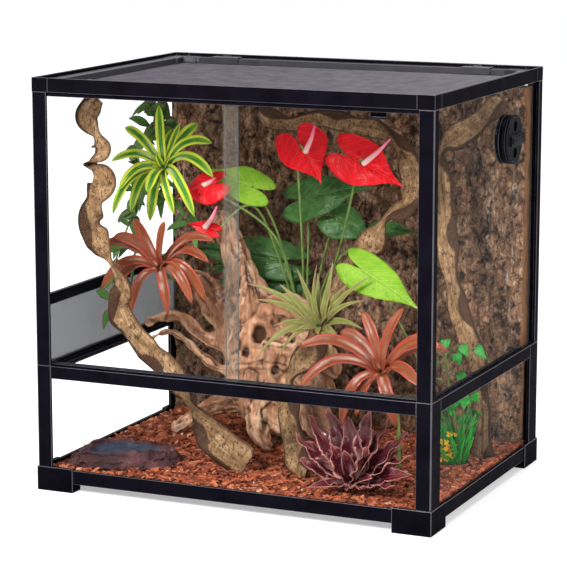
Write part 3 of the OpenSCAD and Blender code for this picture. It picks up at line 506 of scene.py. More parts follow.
for side_name in ("front", "rear", "left", "right"):
    for rail_name in ("bottom_rail_", "mid_rail_", "top_rail_"):
        moulded(rail_name + side_name, PLASTIC, 0.6, "frame")
for corner in ("front_left", "front_right", "rear_left", "rear_right"):
    moulded("foot_" + corner, FEET, 0.8, "feet")
    for post_name in ("lower_post_", "upper_post_"):
        moulded(post_name + corner, PLASTIC, 0.6, "frame")
for part_name in ("top_corner_caps", "lower_door_track", "upper_door_track", "track_clip",
                  "vent_frame"):
    moulded(part_name, PLASTIC, 0.4, "frame")
for part_name in ("lid_bars", "lid_corners", "left_latch", "right_latch", "left_cable_gate",
                  "right_cable_gate"):
    moulded(part_name, LID, 0.4, "lid")
for part_name in ("port_body", "port_nut", "port_cover"):
    moulded(part_name, GLOSS, 0.5, "fittings")
paint("bottom_panel", PANEL)
for part_name in ("lower_front_glass", "lower_rear_glass", "lower_left_glass", "lower_right_glass",
                  "upper_rear_glass", "upper_left_glass", "upper_right_glass"):
    paint(part_name, PANE)
paint("left_door", OUTER_DOOR)
paint("right_door", DOOR)


def fine_net(name, material, corner, u, v, pitch, half, layer, **place):
    """A woven net over the rectangle from corner along u and v; layer parts its two sets of
    wires."""
    corner, u, v = (np.asarray(q, float) for q in (corner, u, v))
    pool = Pool()
    for across, along, lift in ((u, v, (0, 0, 0)), (v, u, layer)):
        count = int(np.linalg.norm(across) / pitch)
        run = unit(along)
        other = unit(np.cross(run, [1, 0, 0] if abs(run[2]) > 0.5 else UP))
        third = np.cross(run, other)
        start = corner + unit(across) * pitch / 2 + lift
        ring = start + np.array([other, third, -other, -third]) * half
        for k in range(count):
            pool.add(np.array([ring, ring + along]) + across / count * k,
                     grid_faces(2, 4, wrap=True))
    pool.make(name, material, smooth=False, **place)


fine_net("lid_fine_mesh", LID_WIRE, (-276, -201, 575.2), (552, 0, 0), (0, 402, 0), pitch=1.6,
         half=0.36, layer=(0, 0, 0.5), node="lid_mesh", slot="mesh", body="lid")
fine_net("vent_fine_mesh", VENT_WIRE, (-290.8, -206.5, 182.6), (0, 413, 0), (0, 0, 83.4), pitch=1.4,
         half=0.31, layer=(0.45, 0, 0), node="vent_mesh", slot="vent_mesh")


# ---------- background panel ----------

def bark_depth(u, v):
    """The panel's relief, as in the construction model; degrees in, 0..1 out."""
    def s(degrees):
        return np.sin(np.radians(degrees))

    drift = 14 * s(v * 1.1) + 8 * s(v * 2.3 + u * 0.4)
    return np.clip(0.5 + 0.24 * s(u * 3.1 + drift * 2) + 0.12 * s(u * 7.4 - drift * 3 + v * 0.6)
                   + 0.08 * s(v * 3.7 + u * 1.9)
                   + 0.16 * s(u * 9.3 + 40 * s(v * 2.9)) * s(v * 6.1 + 50 * s(u * 2.3)), 0, 1)


def bark_panel():
    """The cork sheet: the construction model's relief, with plates, cracks and grit."""
    half_x, top, back, front, relief = 286, 562, 214.2, 200.2, 24.0
    x, z = np.meshgrid(np.arange(-half_x, half_x + 0.1, 2.0), np.linspace(SOIL_TOP, top, 265))
    y = front - relief * bark_depth(x, z)
    for k in range(10):  # the construction model's raised flakes
        cx, cz = -250 + 55 * k, top * 0.16 + (k * 173) % 400
        dz = np.abs(z - cz) + 5 * field(x * 0.06, z * 0.06, 0, 2, 5)
        wide = np.interp(dz, [0, 16, 46], [17, 16, 5])
        mid = cx + np.interp(dz, [16, 46], [-3, 0]) + (z > cz) * np.interp(dz, [16, 46], [0, 5])
        inside = np.minimum((wide - np.abs(x - mid)) / 5, (48 - dz) / 6)
        flake = 186.5 + 8 * (1 - np.clip(inside, 0, 1)) ** 2
        y = np.where(inside > 0, np.minimum(y, flake), y)
    warp = field(x * 0.03, z * 0.02, 3, 3, 41) * 16
    plates = field(x * 0.14 + warp * 0.12, z * 0.075 + warp * 0.05, 0, 4, 7)
    cracks = 1 - np.abs(field((x + warp) * 0.11, z * 0.048, 9, 4, 23)) * 3.6
    cracks = np.clip(cracks, 0, 1) ** 2.2
    cross = 1 - np.abs(field(x * 0.06, (z + warp) * 0.12, 4, 3, 61)) * 4.5
    cross = np.clip(cross, 0, 1) ** 3
    grit = field(x * 0.27, z * 0.22, 0, 3, 77)
    y = y - (1.4 + 3.4 * plates + 2.2 * grit - 3.6 * cracks - 2.0 * cross)
    y = np.clip(y, front - relief - 8, back - 4)
    # Painted shade: how far each point lies in a crack or hollow, which darkens its colour.
    hollow_shade = np.clip(0.50 * cracks + 0.30 * cross - 0.42 * plates - 0.34 * grit + 0.18, 0, 1)
    verts, faces, rim = slab(np.stack([x, y, z], -1), 1, back)
    cut = np.repeat([0.0, 1.0], [x.size, len(rim)])
    cut[rim] = 0.6
    add_mesh("cork_bark_background", verts, faces, background_material(),
             {"hollow_shade": np.append(hollow_shade, np.full(len(rim), 0.3)), "cut": cut},
             node="background_panel", slot="background")


def background_material():
    m = Mat("cork_bark")
    big = m.noise(9, 4, 0.6, (1, 1, 0.35))
    mid = m.noise(75, 5, 0.7, (1, 1, 0.55))
    fine = m.noise(420, 3, 0.7)
    cell = m.cells(150, stretch=(1, 1, 0.5), feature="DISTANCE_TO_EDGE")
    base = m.ramp(mid, (0.30, (0.05, 0.020, 0.011)), (0.42, (0.19, 0.085, 0.044)),
                  (0.55, (0.40, 0.21, 0.115)), (0.70, (0.66, 0.44, 0.29)))
    base = m.over(base, big, (0.44, 0.0), (0.64, 0.45), (0.27, 0.17, 0.11))
    # Painted shade along the recessed crack lines between plates, where the bump sinks the surface.
    base = m.over(base, cell, (0.0, 0.6), (0.12, 0.0), (0.020, 0.010, 0.007))
    streak = m.noise(34, 5, 0.75, (1.6, 1, 0.12))
    base = m.over(base, streak, (0.60, 0.0), (0.70, 0.7), (0.60, 0.54, 0.47))
    base = m.over(base, fine, (0.35, 0.4), (0.6, 0.0), (0.03, 0.015, 0.01))
    # Painted shade, darkest in the recessed cracks and hollows.
    base = m.over(base, m.tag("hollow_shade"), (0.28, 0.0), (0.72, 0.94), (0.014, 0.007, 0.005))
    cork = m.ramp(m.noise(140, 4, 0.7, (1, 1, 0.3)), (0.3, (0.10, 0.032, 0.008)),
                  (0.7, (0.30, 0.12, 0.036)))
    base = m.over(base, m.tag("cut"), (0.3, 0.0), (0.6, 1.0), cork)
    groove = m.ramp(cell, (0.0, 0.0), (0.15, 0.35))
    return m.surface(base, m.ramp(fine, (0.3, 0.7), (0.7, 0.9)), 0.25,
                     m.weigh((mid, 0.7), (fine, 0.2), (groove, 1.0)), 0.9, 0.003)


bark_panel()


# ---------- bark-chip substrate ----------

def mulch_material():
    m = Mat("bark_chips")
    tone = m.tag("tone")
    grain = m.noise(380, 4, 0.7)
    c = m.ramp(tone, (0.0, (0.035, 0.007, 0.004)), (0.3, (0.20, 0.036, 0.015)),
               (0.62, (0.50, 0.115, 0.045)), (0.86, (0.74, 0.26, 0.12)))
    c = m.over(c, tone, (0.93, 0.0), (0.97, 0.85), (0.66, 0.40, 0.27))
    c = m.over(c, grain, (0.36, 0.5), (0.62, 0.0), (0.05, 0.014, 0.008))
    return m.surface(c, m.ramp(grain, (0.3, 0.6), (0.7, 0.85)), 0.3, grain, 0.5, 0.0006)


def mulch():
    """Loose chips over a rough bed of soil, some of them pressed against the front and right panes."""
    r = rng(11)
    count = 11000
    length = r.gamma(4.0, 1.9, count).clip(2.5, 19)
    wide = (length * r.uniform(0.25, 0.75, count)).clip(1.6, 7.5)
    thick = r.uniform(0.9, 2.8, count)
    x, y = r.uniform(-287, 287, count), r.uniform(-212, 212, count)
    rim = r.random(count) < 0.16
    edge = r.integers(0, 3, count)
    y = np.where(rim & (edge == 0), r.uniform(-213, -208, count), y)
    x = np.where(rim & (edge == 1), r.uniform(283, 288, count), x)
    level = 31.0 + 1.8 * field(x * 0.02, y * 0.02, 0, 3, 3)
    z = np.where(rim, r.uniform(23, 34, count), level + r.uniform(-1.5, 2.8, count))
    yaw = r.uniform(0, 2 * math.pi, (count, 1))
    pitch = r.normal(0, 0.22, (count, 1))
    roll = r.normal(0, 0.3, (count, 1))
    corner = np.array([[-1, -1, -1], [0, -1.15, -1], [1, -0.8, -1], [1, 0.8, -1], [0, 1.1, -1],
                       [-1, 0.9, -1]])
    shape = np.concatenate([corner, corner * [0.86, 0.8, -1]])
    pts = shape * (1 + 0.28 * r.uniform(-1, 1, (count, 12, 3)))
    pts = pts * np.stack([length, wide, thick], -1)[:, None] * 0.5
    px, py, pz = np.moveaxis(pts, -1, 0)
    py, pz = turned(py, pz, roll)
    px, pz = turned(px, pz, pitch)
    px, py = turned(px, py, yaw)
    pts = np.stack([px, py, pz], -1) + np.stack([x, y, z], -1)[:, None]
    pts = pts.clip([-HALF_X, -HALF_Y, SOIL_FOOT], [HALF_X, HALF_Y, 60])
    quads = [[5, 4, 1, 0], [4, 3, 2, 1], [6, 7, 10, 11], [7, 8, 9, 10]]
    quads = np.array(quads + grid_faces(2, 6, wrap=True))
    tone = r.beta(2.4, 2.2, count) * 0.92
    tone = np.where(r.random(count) < 0.02, 1.0, tone)
    # Chip points lower than 29.5 mm are darkened: painted shade low between the chips and against the
    # panes.
    tone = np.repeat(tone, 12) - 0.2 * np.clip((29.5 - pts[..., 2].ravel()) / 4, 0, 1)
    pool = Pool()
    pool.add(pts, (quads + np.arange(count)[:, None, None] * 12).reshape(-1, 4).tolist(), tone=tone)
    x, y = np.meshgrid(np.linspace(-HALF_X, HALF_X, 146), np.linspace(-HALF_Y, HALF_Y, 108))
    z = 29.8 + 1.8 * field(x * 0.02, y * 0.02, 0, 3, 3) + 1.4 * field(x * 0.2, y * 0.2, 0, 2, 8)
    verts, faces, _ = slab(np.stack([x, y, z], -1), 2, SOIL_FOOT)
    pool.add(verts, faces, tone=np.full(len(verts), 0.12))
    pool.make("loose_bark_chips", mulch_material(), node="substrate", slot="substrate",
              smooth=False)


mulch()


# ---------- rock water dish ----------

def rock_material():
    m = Mat("moulded_rock")
    big = m.noise(34, 5, 0.62)
    fine = m.noise(420, 4, 0.7)
    c = m.ramp(big, (0.3, (0.020, 0.008, 0.009)), (0.48, (0.065, 0.022, 0.024)),
               (0.62, (0.13, 0.050, 0.052)), (0.76, (0.34, 0.17, 0.16)))
    c = m.over(c, fine, (0.35, 0.7), (0.6, 0.0), (0.012, 0.006, 0.007))
    floor = m.ramp(m.noise(70, 4, 0.6), (0.3, (0.022, 0.026, 0.040)), (0.7, (0.070, 0.078, 0.115)))
    c = m.mix(m.tag("basin"), c, floor)
    return m.surface(c, m.ramp(fine, (0.3, 0.34), (0.7, 0.6)),
                     m.ramp(m.tag("basin"), (0.0, 0.14), (1.0, 0.03)),
                     m.weigh((big, 0.6), (fine, 0.4)), 1.0, 0.003)


def water_dish():
    """Rings of points from the foot over the crest and the lip to the middle of the basin."""
    high = 22.0
    n = 220
    foot = [[10, 6], [66, 0], [112, 14], [150, 42], [165, 78], [140, 114], [90, 122], [36, 114],
            [4, 88], [0, 40]]
    crest = [[26, 24], [68, 18], [102, 30], [136, 52], [146, 78], [126, 102], [86, 110], [42, 102],
             [18, 80], [15, 48]]
    lip = [[32, 38], [66, 32], [92, 42], [106, 60], [104, 82], [92, 94], [68, 100], [46, 95],
           [29, 80], [26, 56]]
    foot, crest, lip = (curve_points(q, n, closed=True) for q in (foot, crest, lip))
    middle = lip.mean(0)
    rings = [(foot + (crest - foot) * f, high * (0.35 * f + 0.65 * f * f * (3 - 2 * f)), 0.0, 1.0)
             for f in np.arange(13) / 12]
    rings += [(crest + (lip - crest) * f, high - 17.5 * f ** 2, float(f > 0.5), 1 - f)
              for f in np.arange(1, 7) / 6]
    rings += [(lip + (middle - lip) * f, 8.4 - 0.4 * f, 1.0, 0.08) for f in np.arange(1, 12) / 12]
    xy = np.stack([ring[0] for ring in rings])
    z, basin, rough = (np.repeat([[ring[k]] for ring in rings], n, axis=1) for k in (1, 2, 3))
    p = np.dstack([xy, z * 1.4])
    ledge = fbm(p * [0.055, 0.065, 0.14], 4, 4)
    step = np.round(ledge * 6) / 6
    push = np.abs((0.6 * step + 0.4 * ledge) * 16 * rough)
    xy = xy - unit(xy - middle) * push[..., None] * 0.7
    z = z + (8.0 * step + 3.6 * fbm(p * 0.13, 3, 6) - 2.0) * rough
    z = np.clip(z, 0, high + 2)
    z[0] = 0
    verts = np.append(np.dstack([xy, z]), [*middle, 8.0]).reshape(-1, 3) + [*DISH_AT, SOIL_TOP]
    faces = grid_faces(len(rings), n, wrap=True)
    last = (len(rings) - 1) * n
    faces += [[last + i, last + (i + 1) % n, last + n] for i in range(n)]
    faces.append(list(range(n))[::-1])
    add_mesh("rock_water_dish", verts, faces, rock_material(), {"basin": np.append(basin, 1.0)},
             node="water_dish", slot="rock")


water_dish()


# ---------- driftwood ----------

# Each limb's stations: x, y, z, radius
LIMBS = [
    [[-45, 66, 45, 30], [-72, 66, 120, 44], [-96, 64, 190, 46], [-108, 64, 260, 32],
     [-124, 62, 318, 22], [-142, 60, 362, 15]],
    [[-75, 60, 100, 30], [-150, 52, 78, 20], [-206, 38, 42, 12]],
    [[-50, 58, 95, 30], [10, 44, 72, 22], [58, 24, 44, 12]],
    [[-80, 48, 100, 26], [-60, 10, 62, 16], [-34, -14, 42, 11]],
    [[-112, 62, 220, 26], [-160, 56, 258, 15], [-186, 52, 276, 11]],
    [[-122, 56, 175, 22], [-166, 50, 182, 13], [-206, 42, 212, 10], [-246, 24, 204, 8]],
    [[-112, 54, 128, 10], [-150, 48, 140, 9], [-190, 42, 172, 7], [-214, 30, 190, 6],
     [-240, 10, 180, 5]],
    [[-72, 64, 225, 30], [-14, 66, 226, 24], [26, 68, 196, 16]],
    [[-60, 64, 160, 40], [0, 62, 150, 26], [22, 58, 118, 18]],
    [[-96, 60, 150, 38], [-60, 58, 168, 44], [-26, 60, 172, 36]],
    [[-90, 62, 214, 36], [-52, 64, 204, 32], [4, 66, 176, 26], [36, 60, 150, 15]],
    [[-64, 56, 118, 40], [-24, 54, 108, 34], [10, 46, 84, 26], [44, 30, 56, 15]],
    [[-100, 56, 112, 32], [-70, 50, 78, 30], [-40, 40, 60, 20]],
    [[-128, 58, 190, 20], [-150, 56, 214, 15], [-176, 52, 246, 11]]]

# Hollows in the wood: x, y, z, radius, depth
HOLES = [[-66, 20, 200, 15, 20], [-84, 18, 172, 8, 14], [-112, 20, 236, 12, 12],
         [-18, 34, 196, 9, 12], [-40, 22, 146, 8, 9], [-120, 22, 150, 9, 10]]


def wood_material():
    m = Mat("weathered_driftwood")
    along = m.noise(30, 5, 0.62, (1.2, 1.2, 0.22), distort=0.8)
    fibre = m.noise(170, 4, 0.65, (1.4, 1.4, 0.10))
    fine = m.noise(500, 3, 0.7)
    grain = m.tag("grain")
    c = m.ramp(along, (0.25, (0.17, 0.065, 0.03)), (0.42, (0.42, 0.19, 0.10)),
               (0.56, (0.60, 0.32, 0.185)), (0.72, (0.76, 0.50, 0.33)))
    c = m.over(c, fibre, (0.34, 0.5), (0.56, 0.0), (0.12, 0.046, 0.024))
    c = m.over(c, m.noise(12, 3), (0.55, 0.0), (0.75, 0.4), (0.62, 0.50, 0.42))
    # Painted shade in the grooves and hollows of the wood.
    c = m.over(c, m.tag("hollow_shade"), (0.2, 0.0), (0.75, 0.95), (0.028, 0.012, 0.008))
    c = m.over(c, grain, (0.35, 0.55), (0.52, 0.0), (0.20, 0.075, 0.040))
    c = m.over(c, grain, (0.56, 0.0), (0.74, 0.5), (0.80, 0.56, 0.40))
    return m.surface(c, m.ramp(fine, (0.3, 0.62), (0.7, 0.85)), 0.2,
                     m.weigh((fibre, 0.7), (fine, 0.3)), 0.6, 0.0012)


def grain_along_limbs(co):
    """Grooves, ridges and fibres that run along the limbs and merge where limbs meet."""
    best, paths = np.full(len(co), 1e9), []
    for limb in LIMBS:
        p = curve_points(limb, 8 * (len(limb) - 1))
        near = np.argmin(np.linalg.norm(co[:, None] - p[None, :, :3], axis=2) / p[:, 3], axis=1)
        dist = np.linalg.norm(co - p[near, :3], axis=1) / p[near, 3]
        best = np.minimum(best, dist)
        paths.append((p, near, dist))
    total = np.zeros(len(co))
    out = np.zeros((3, len(co)))
    for k, (p, near, dist) in enumerate(paths):
        use = dist < best + 0.45
        path, near = p[:, :3], near[use]
        tangent, side, face = (q[near] for q in frames_along(path, [0.2, -1.0, 0.1]))
        gap = co[use] - path[near]
        ahead = (gap * tangent).sum(1)
        along = run_along(path)[near] + ahead
        e = unit(gap - tangent * ahead[:, None])
        round_limb = turned((e * side).sum(1), (e * face).sum(1), 0.010 * along)
        size = p[near, 3] / 16 * 1.25
        q = np.stack([round_limb[0] * size, round_limb[1] * size, along * 0.013 + k * 7.7], -1)
        w = np.exp(-7 * (dist[use] - best[use]))
        total[use] += w
        out[0, use] += w * np.clip(1 - np.abs(fbm(q, 4, 13)) * 5.0, 0, 1) ** 1.5
        out[1, use] += w * fbm(q * [0.8, 0.8, 1.3] + 11, 3, 19)
        out[2, use] += w * fbm(q * [2.6, 2.6, 2.2] + 31, 3, 57)
    return out / total


def limb_blobs():
    """The limbs as one mesh of overlapping lumpy balls, before they are joined."""
    bm = bmesh.new()
    r = rng(5)
    for limb in LIMBS:
        for k, (x, y, z, rad) in enumerate(curve_points(limb, 6 * (len(limb) - 1))):
            size = rad * (1 + 0.16 * math.sin(k * 1.7 + rad)) * 0.94 * MM
            turn = r.uniform(-1, 1, 3)
            for v in bmesh.ops.create_icosphere(bm, subdivisions=2, radius=size)["verts"]:
                d = v.co.normalized()
                lump = math.sin(d.x * 5 + turn[0] * 6) * math.cos(d.y * 4 + turn[1] * 3)
                v.co = v.co * (1 + 0.13 * lump) + Vector((x, y, z)) * MM
    mesh = bpy.data.meshes.new("driftwood_stump")
    bm.to_mesh(mesh)
    bm.free()
    return mesh


def point_vectors(mesh, key):
    values = np.zeros(len(mesh.vertices) * 3, np.float32)
    mesh.vertices.foreach_get(key, values)
    return values.reshape(-1, 3).astype(float)


def driftwood():
    """The limbs joined, smoothed and carved with grain and hollows."""
    blobs = limb_blobs()
    obj = new_object("driftwood_stump", blobs)
    remesh = obj.modifiers.new("Remesh", "REMESH")
    remesh.mode = "VOXEL"
    remesh.voxel_size = 0.0024
    soft = obj.modifiers.new("Smooth", "SMOOTH")
    soft.factor = 0.5
    soft.iterations = 8
    dg = bpy.context.evaluated_depsgraph_get()
    done = bpy.data.meshes.new_from_object(obj.evaluated_get(dg))
    obj.modifiers.clear()
    obj.data = done
    bpy.data.meshes.remove(blobs)
    co, normal = point_vectors(done, "co") / MM, point_vectors(done, "normal")
    groove, ridge, fibre = grain_along_limbs(co)
    swirl = np.abs(fbm(co * [0.026, 0.026, 0.016] + fbm(co * 0.02, 2, 31)[:, None] * 0.6, 3, 51))
    deep = np.clip(1 - swirl * 8, 0, 1) ** 2
    push = 2.6 * ridge - 3.0 * groove - 2.6 * deep + 0.8 * fibre
    # Painted shade: darkest in the grooves and deep swirls, less on the ridges.
    hollow_shade = 0.70 * groove + 0.55 * deep - 0.16 * ridge
    frontal = normal[:, 1] < 0.2
    for x, y, z, rad, depth in HOLES:
        d = np.linalg.norm((co - [x, y, z]) * [1, 0.45, 0.8], axis=1) / rad
        d = d + 0.5 * fbm(co * 0.085, 3, 9)
        w = np.clip(1 - d, 0, 1)
        w = w * w * (3 - 2 * w)
        push += (np.exp(-((d - 1.05) / 0.22) ** 2) - depth * w) * frontal
        # The hollows are painted dark as shade.
        hollow_shade = np.maximum(hollow_shade, np.clip(w * 1.7, 0, 1) * frontal)
    co = co + normal * push[:, None]
    co[:, 2] = np.maximum(co[:, 2], 31)
    done.vertices.foreach_set("co", (co * MM).ravel().astype(np.float32))
    set_tag(done, "hollow_shade", np.clip(hollow_shade, 0, 1))
    set_tag(done, "grain", 0.5 + 0.5 * fibre)
    done.update()
    done.shade_smooth()
    done.materials.clear()
    done.materials.append(wood_material())
    ride(obj, "driftwood", "driftwood")


driftwood()


# ---------- bark ribbons ----------

# Each ribbon's stations: x, y, z, turn in steps of 1.5 degrees, width
RIBBONS = [
    [[-247, -130, 556, 10, 30], [-263, -131, 528, -30, 34], [-247, -134, 503, 30, 28],
     [-238, -136, 482, 0, 36], [-256, -138, 460, 60, 38], [-236, -140, 438, -15, 46],
     [-245, -140, 410, 10, 40], [-256, -140, 375, -35, 40], [-238, -140, 345, 5, 44],
     [-220, -138, 315, 30, 34], [-208, -136, 285, 10, 32], [-214, -134, 255, -45, 36],
     [-196, -134, 226, 10, 36], [-160, -134, 194, 0, 38], [-124, -134, 158, 10, 38],
     [-102, -132, 124, 25, 36], [-82, -132, 96, 5, 40], [-48, -134, 66, -10, 36],
     [-12, -134, 45, 0, 30]],
    [[-112, 128, 512, 20, 40], [-60, 120, 500, -20, 30], [0, 112, 512, 15, 36],
     [48, 105, 506, -25, 34], [98, 98, 500, 20, 36], [134, 84, 474, 10, 38],
     [158, 64, 436, -20, 38], [156, 52, 402, 25, 34], [128, 50, 384, 50, 40],
     [112, 50, 352, 10, 40], [86, 46, 322, -20, 34], [62, 36, 280, 0, 32],
     [46, 16, 236, 10, 32], [34, -8, 190, 0, 34], [6, -24, 150, 30, 34],
     [14, -46, 112, 10, 34], [30, -74, 80, -10, 34], [56, -108, 56, 0, 32],
     [78, -130, 44, 0, 24]],
    [[262, 150, 548, -30, 34], [238, 146, 522, 15, 36], [208, 134, 498, -10, 40],
     [182, 126, 474, 35, 36], [180, 118, 444, 0, 38], [190, 106, 410, 10, 34],
     [198, 96, 370, -10, 32], [204, 88, 325, 0, 30], [216, 78, 280, 10, 30],
     [234, 68, 238, 0, 32], [252, 64, 200, -10, 32], [262, 68, 160, 10, 26],
     [263, 76, 110, 0, 26], [263, 82, 70, 5, 26], [263, 84, 34, 0, 24]]]

# Each ribbon's width along it, against the stations' widths, and where the painted shade on its turned side
# shows
WIDTHS = [[0.95, 0.8, 0.85, 0.95, 1.1], [0.8, 0.8, 1.15, 1.1, 1.1], [0.9, 0.9, 1.0, 1.0, 1.0]]
SHADE_STARTS = [2.2, 0.4, 1.0]


def ribbon_material():
    m = Mat("dried_bark_strip")
    strip = m.tag("strip", "Vector")
    grain = m.noise(1.0, 5, 0.65, (0.9, 9, 1), strip, 0.4)
    mottled = m.noise(70, 4, 0.7)
    pores = m.noise(260, 3, 0.75, (1, 1, 0.6))
    edge = m.math("ABSOLUTE", m.axis(strip, "Y"))
    c = m.ramp(mottled, (0.3, (0.17, 0.085, 0.036)), (0.5, (0.36, 0.21, 0.105)),
               (0.7, (0.58, 0.38, 0.22)))
    c = m.over(c, grain, (0.36, 0.6), (0.6, 0.0), (0.13, 0.062, 0.025))
    c = m.over(c, pores, (0.38, 0.9), (0.47, 0.0), (0.040, 0.018, 0.009))
    c = m.over(c, m.noise(30, 4, 0.7), (0.50, 0.0), (0.68, 0.6), (0.12, 0.060, 0.028))
    c = m.over(c, edge, (0.78, 0.0), (0.93, 0.85), (0.065, 0.028, 0.014))
    # Painted shade in the sunken crease along the strip's middle.
    c = m.over(c, edge, (0.0, 0.45), (0.07, 0.0), (0.11, 0.05, 0.02))
    # Painted shade on the strip's turned side, from the third value of the strip tag.
    c = m.over(c, m.axis(strip, "Z"), (0.3, 0.0), (0.7, 0.9), (0.045, 0.019, 0.011))
    return m.surface(c, m.ramp(mottled, (0.3, 0.62), (0.7, 0.82)), 0.15,
                     m.weigh((pores, 0.6), (mottled, 0.4), (grain, 0.6)), 0.9, 0.003)


def ribbon(pool, k, stations):
    """One strip of bark: bowed across, curled at its edges, creased along its middle."""
    n, m = len(stations) * 14, 15
    p = curve_points(stations, n)
    path = p[:, :3]
    tangent = unit(np.gradient(path, axis=0))
    flat = unit(np.cross(tangent, [0, 1, 0]))
    deep = unit(np.cross(tangent, flat))
    turn = np.radians(p[:, 3] * 1.5)[:, None]
    side = flat * np.cos(turn) + deep * np.sin(turn)
    face = unit(np.cross(tangent, side))[:, None]
    run = run_along(path)[:, None]
    t = np.linspace(0, 1, n + 1)
    width = np.interp(t, [0, 0.90, 0.955, 0.99, 1], [0, 0, 0.4, 0.6, 0.1])
    width = width + np.interp(t, [0, 0.25, 0.4, 0.55, 1], WIDTHS[k])
    half = (p[:, 4] / 2 * width)[:, None]
    left = half * (1 + 0.22 * field(run * 0.035, 0, k, 3, 70 + k))
    right = half * (1 + 0.22 * field(run * 0.035, 5, k, 3, 90 + k))
    s = np.linspace(-1, 1, m)
    across = s * np.where(s < 0, left, right)
    bow = (1 - s ** 2) * half * 0.12
    curl = np.sin(run * 0.075 + k * 2 + s * 0.6) * half * 0.22 * np.abs(s) ** 1.5 * np.sign(s)
    crease = -1.6 * np.exp(-(s / 0.10) ** 2)
    rough = field(run * 0.08, across * 0.12, k * 9, 3, 33) * 2.2
    rough = rough + field(run * 0.022, across * 0.34, k * 5, 3, 37) * 1.8
    top = path[:, None] + side[:, None] * across[..., None]
    top = top + face * (bow + curl + crease + rough)[..., None]
    thick = 2.0 * (1 - 0.45 * np.abs(s) ** 3)
    under = top - face * thick[:, None]
    loop = np.concatenate([top, under[:, ::-1]], 1)
    loop = loop.clip([-HALF_X + 0.5, -HALF_Y, 31.5], [HALF_X - 0.5, HALF_Y, 600])
    cols = 2 * m
    tag = np.ones((n + 1, cols, 3))
    tag[..., 0] = run * 0.02 + k * 7
    tag[..., 1] = np.append(s, s[::-1])
    # Painted shade: in bands along the strip, one side is darkened as the side turned away from the light.
    shade = np.sin(run * 0.055 + SHADE_STARTS[k])
    rim = (-s if k == 0 else s) - (0.62 - 0.72 * np.maximum(0, shade))
    tag[:, :m, 2] = np.clip(rim / 0.16, 0, 1) * 0.9
    faces = [f[::-1] for f in grid_faces(n + 1, cols, wrap=True)]
    faces += [list(range(cols)), [n * cols + i for i in range(cols)][::-1]]
    pool.add(loop, faces, strip=tag.reshape(-1, 3))


def ribbons():
    pool = Pool()
    for k, stations in enumerate(RIBBONS):
        ribbon(pool, k, stations)
    pool.make("curled_bark_ribbons", ribbon_material(), node="bark_ribbons", slot="bark")


ribbons()


# ---------- leaves ----------

def leaf_bsdf(m, color, rough, spec, normal, thin):
    """A leaf's surface with some light coming through it."""
    through = m.add("BsdfTranslucent", {"Color": color, "Normal": normal}).outputs[0]
    return m.show(m.blend(thin, m.principled(color, rough, spec, {"Normal": normal}), through))


def strap_material(name, middle, margin, deep, streak, edge=(0.5, 0.8), rough=0.27, spec=0.16,
                   tip=None, pale=None, line=None, patch=0.75, rim=(0.86, 0.97), shine=None,
                   vary=0.22):
    """Strap leaf: colour from the midline to the margin, streaks along it, a darker base, and with shine a
    painted highlight beside the midline.
    """
    m = Mat(name)
    leaf = m.tag("leaf", "Vector")
    along, across, one = (m.axis(leaf, name) for name in "XYZ")
    off = m.math("ABSOLUTE", across)
    lines = m.noise(1.0, 3, 0.6, (3.0, 9.0, 5.0), leaf)
    shift = m.mul(m.math("SUBTRACT", lines, 0.5), 0.35)
    c = m.over(middle, m.math("ADD", off, shift), (edge[0], 0.0), (edge[1], 1.0), margin)
    c = m.over(c, lines, (0.35, streak), (0.55, 0.0), deep)
    if pale:
        c = m.over(c, m.noise(1.0, 3, 0.6, (5.0, 7.0, 9.0), leaf), (0.52, 0.0), (0.70, patch), pale)
    c = m.over(c, along, (0.0, 0.75), (0.22, 0.0), deep)
    # Painted highlight: a light streak beside the midline in the leaf's lower half, stronger on some
    # leaves.
    if shine:
        beside = m.math("ABSOLUTE", m.math("SUBTRACT", across, 0.25))
        painted_highlight_spot = m.mul(m.ramp(along, (0.12, 0.0), (0.26, 1.0), (0.55, 0.0)),
                     m.ramp(beside, (0.05, 1.0), (0.45, 0.0)))
        c = m.mix(m.mul(painted_highlight_spot, m.ramp(one, (0.2, 0.15), (0.8, 0.85))), c, shine)
    if tip:
        c = m.over(c, along, (0.72, 0.0), (1.0, 0.7), tip)
    if line:
        c = m.over(c, off, (rim[0], 0.0), (rim[1], 0.85), line)
    c = m.mix(m.mul(one, vary), c, deep)
    fine = m.noise(1.0, 3, 0.7, (8.0, 16.0, 3.0), leaf)
    return leaf_bsdf(m, c, m.ramp(fine, (0.3, rough - 0.06), (0.7, rough + 0.1)), spec,
                     m.bump(fine, 0.4, 0.0006), 0.18)


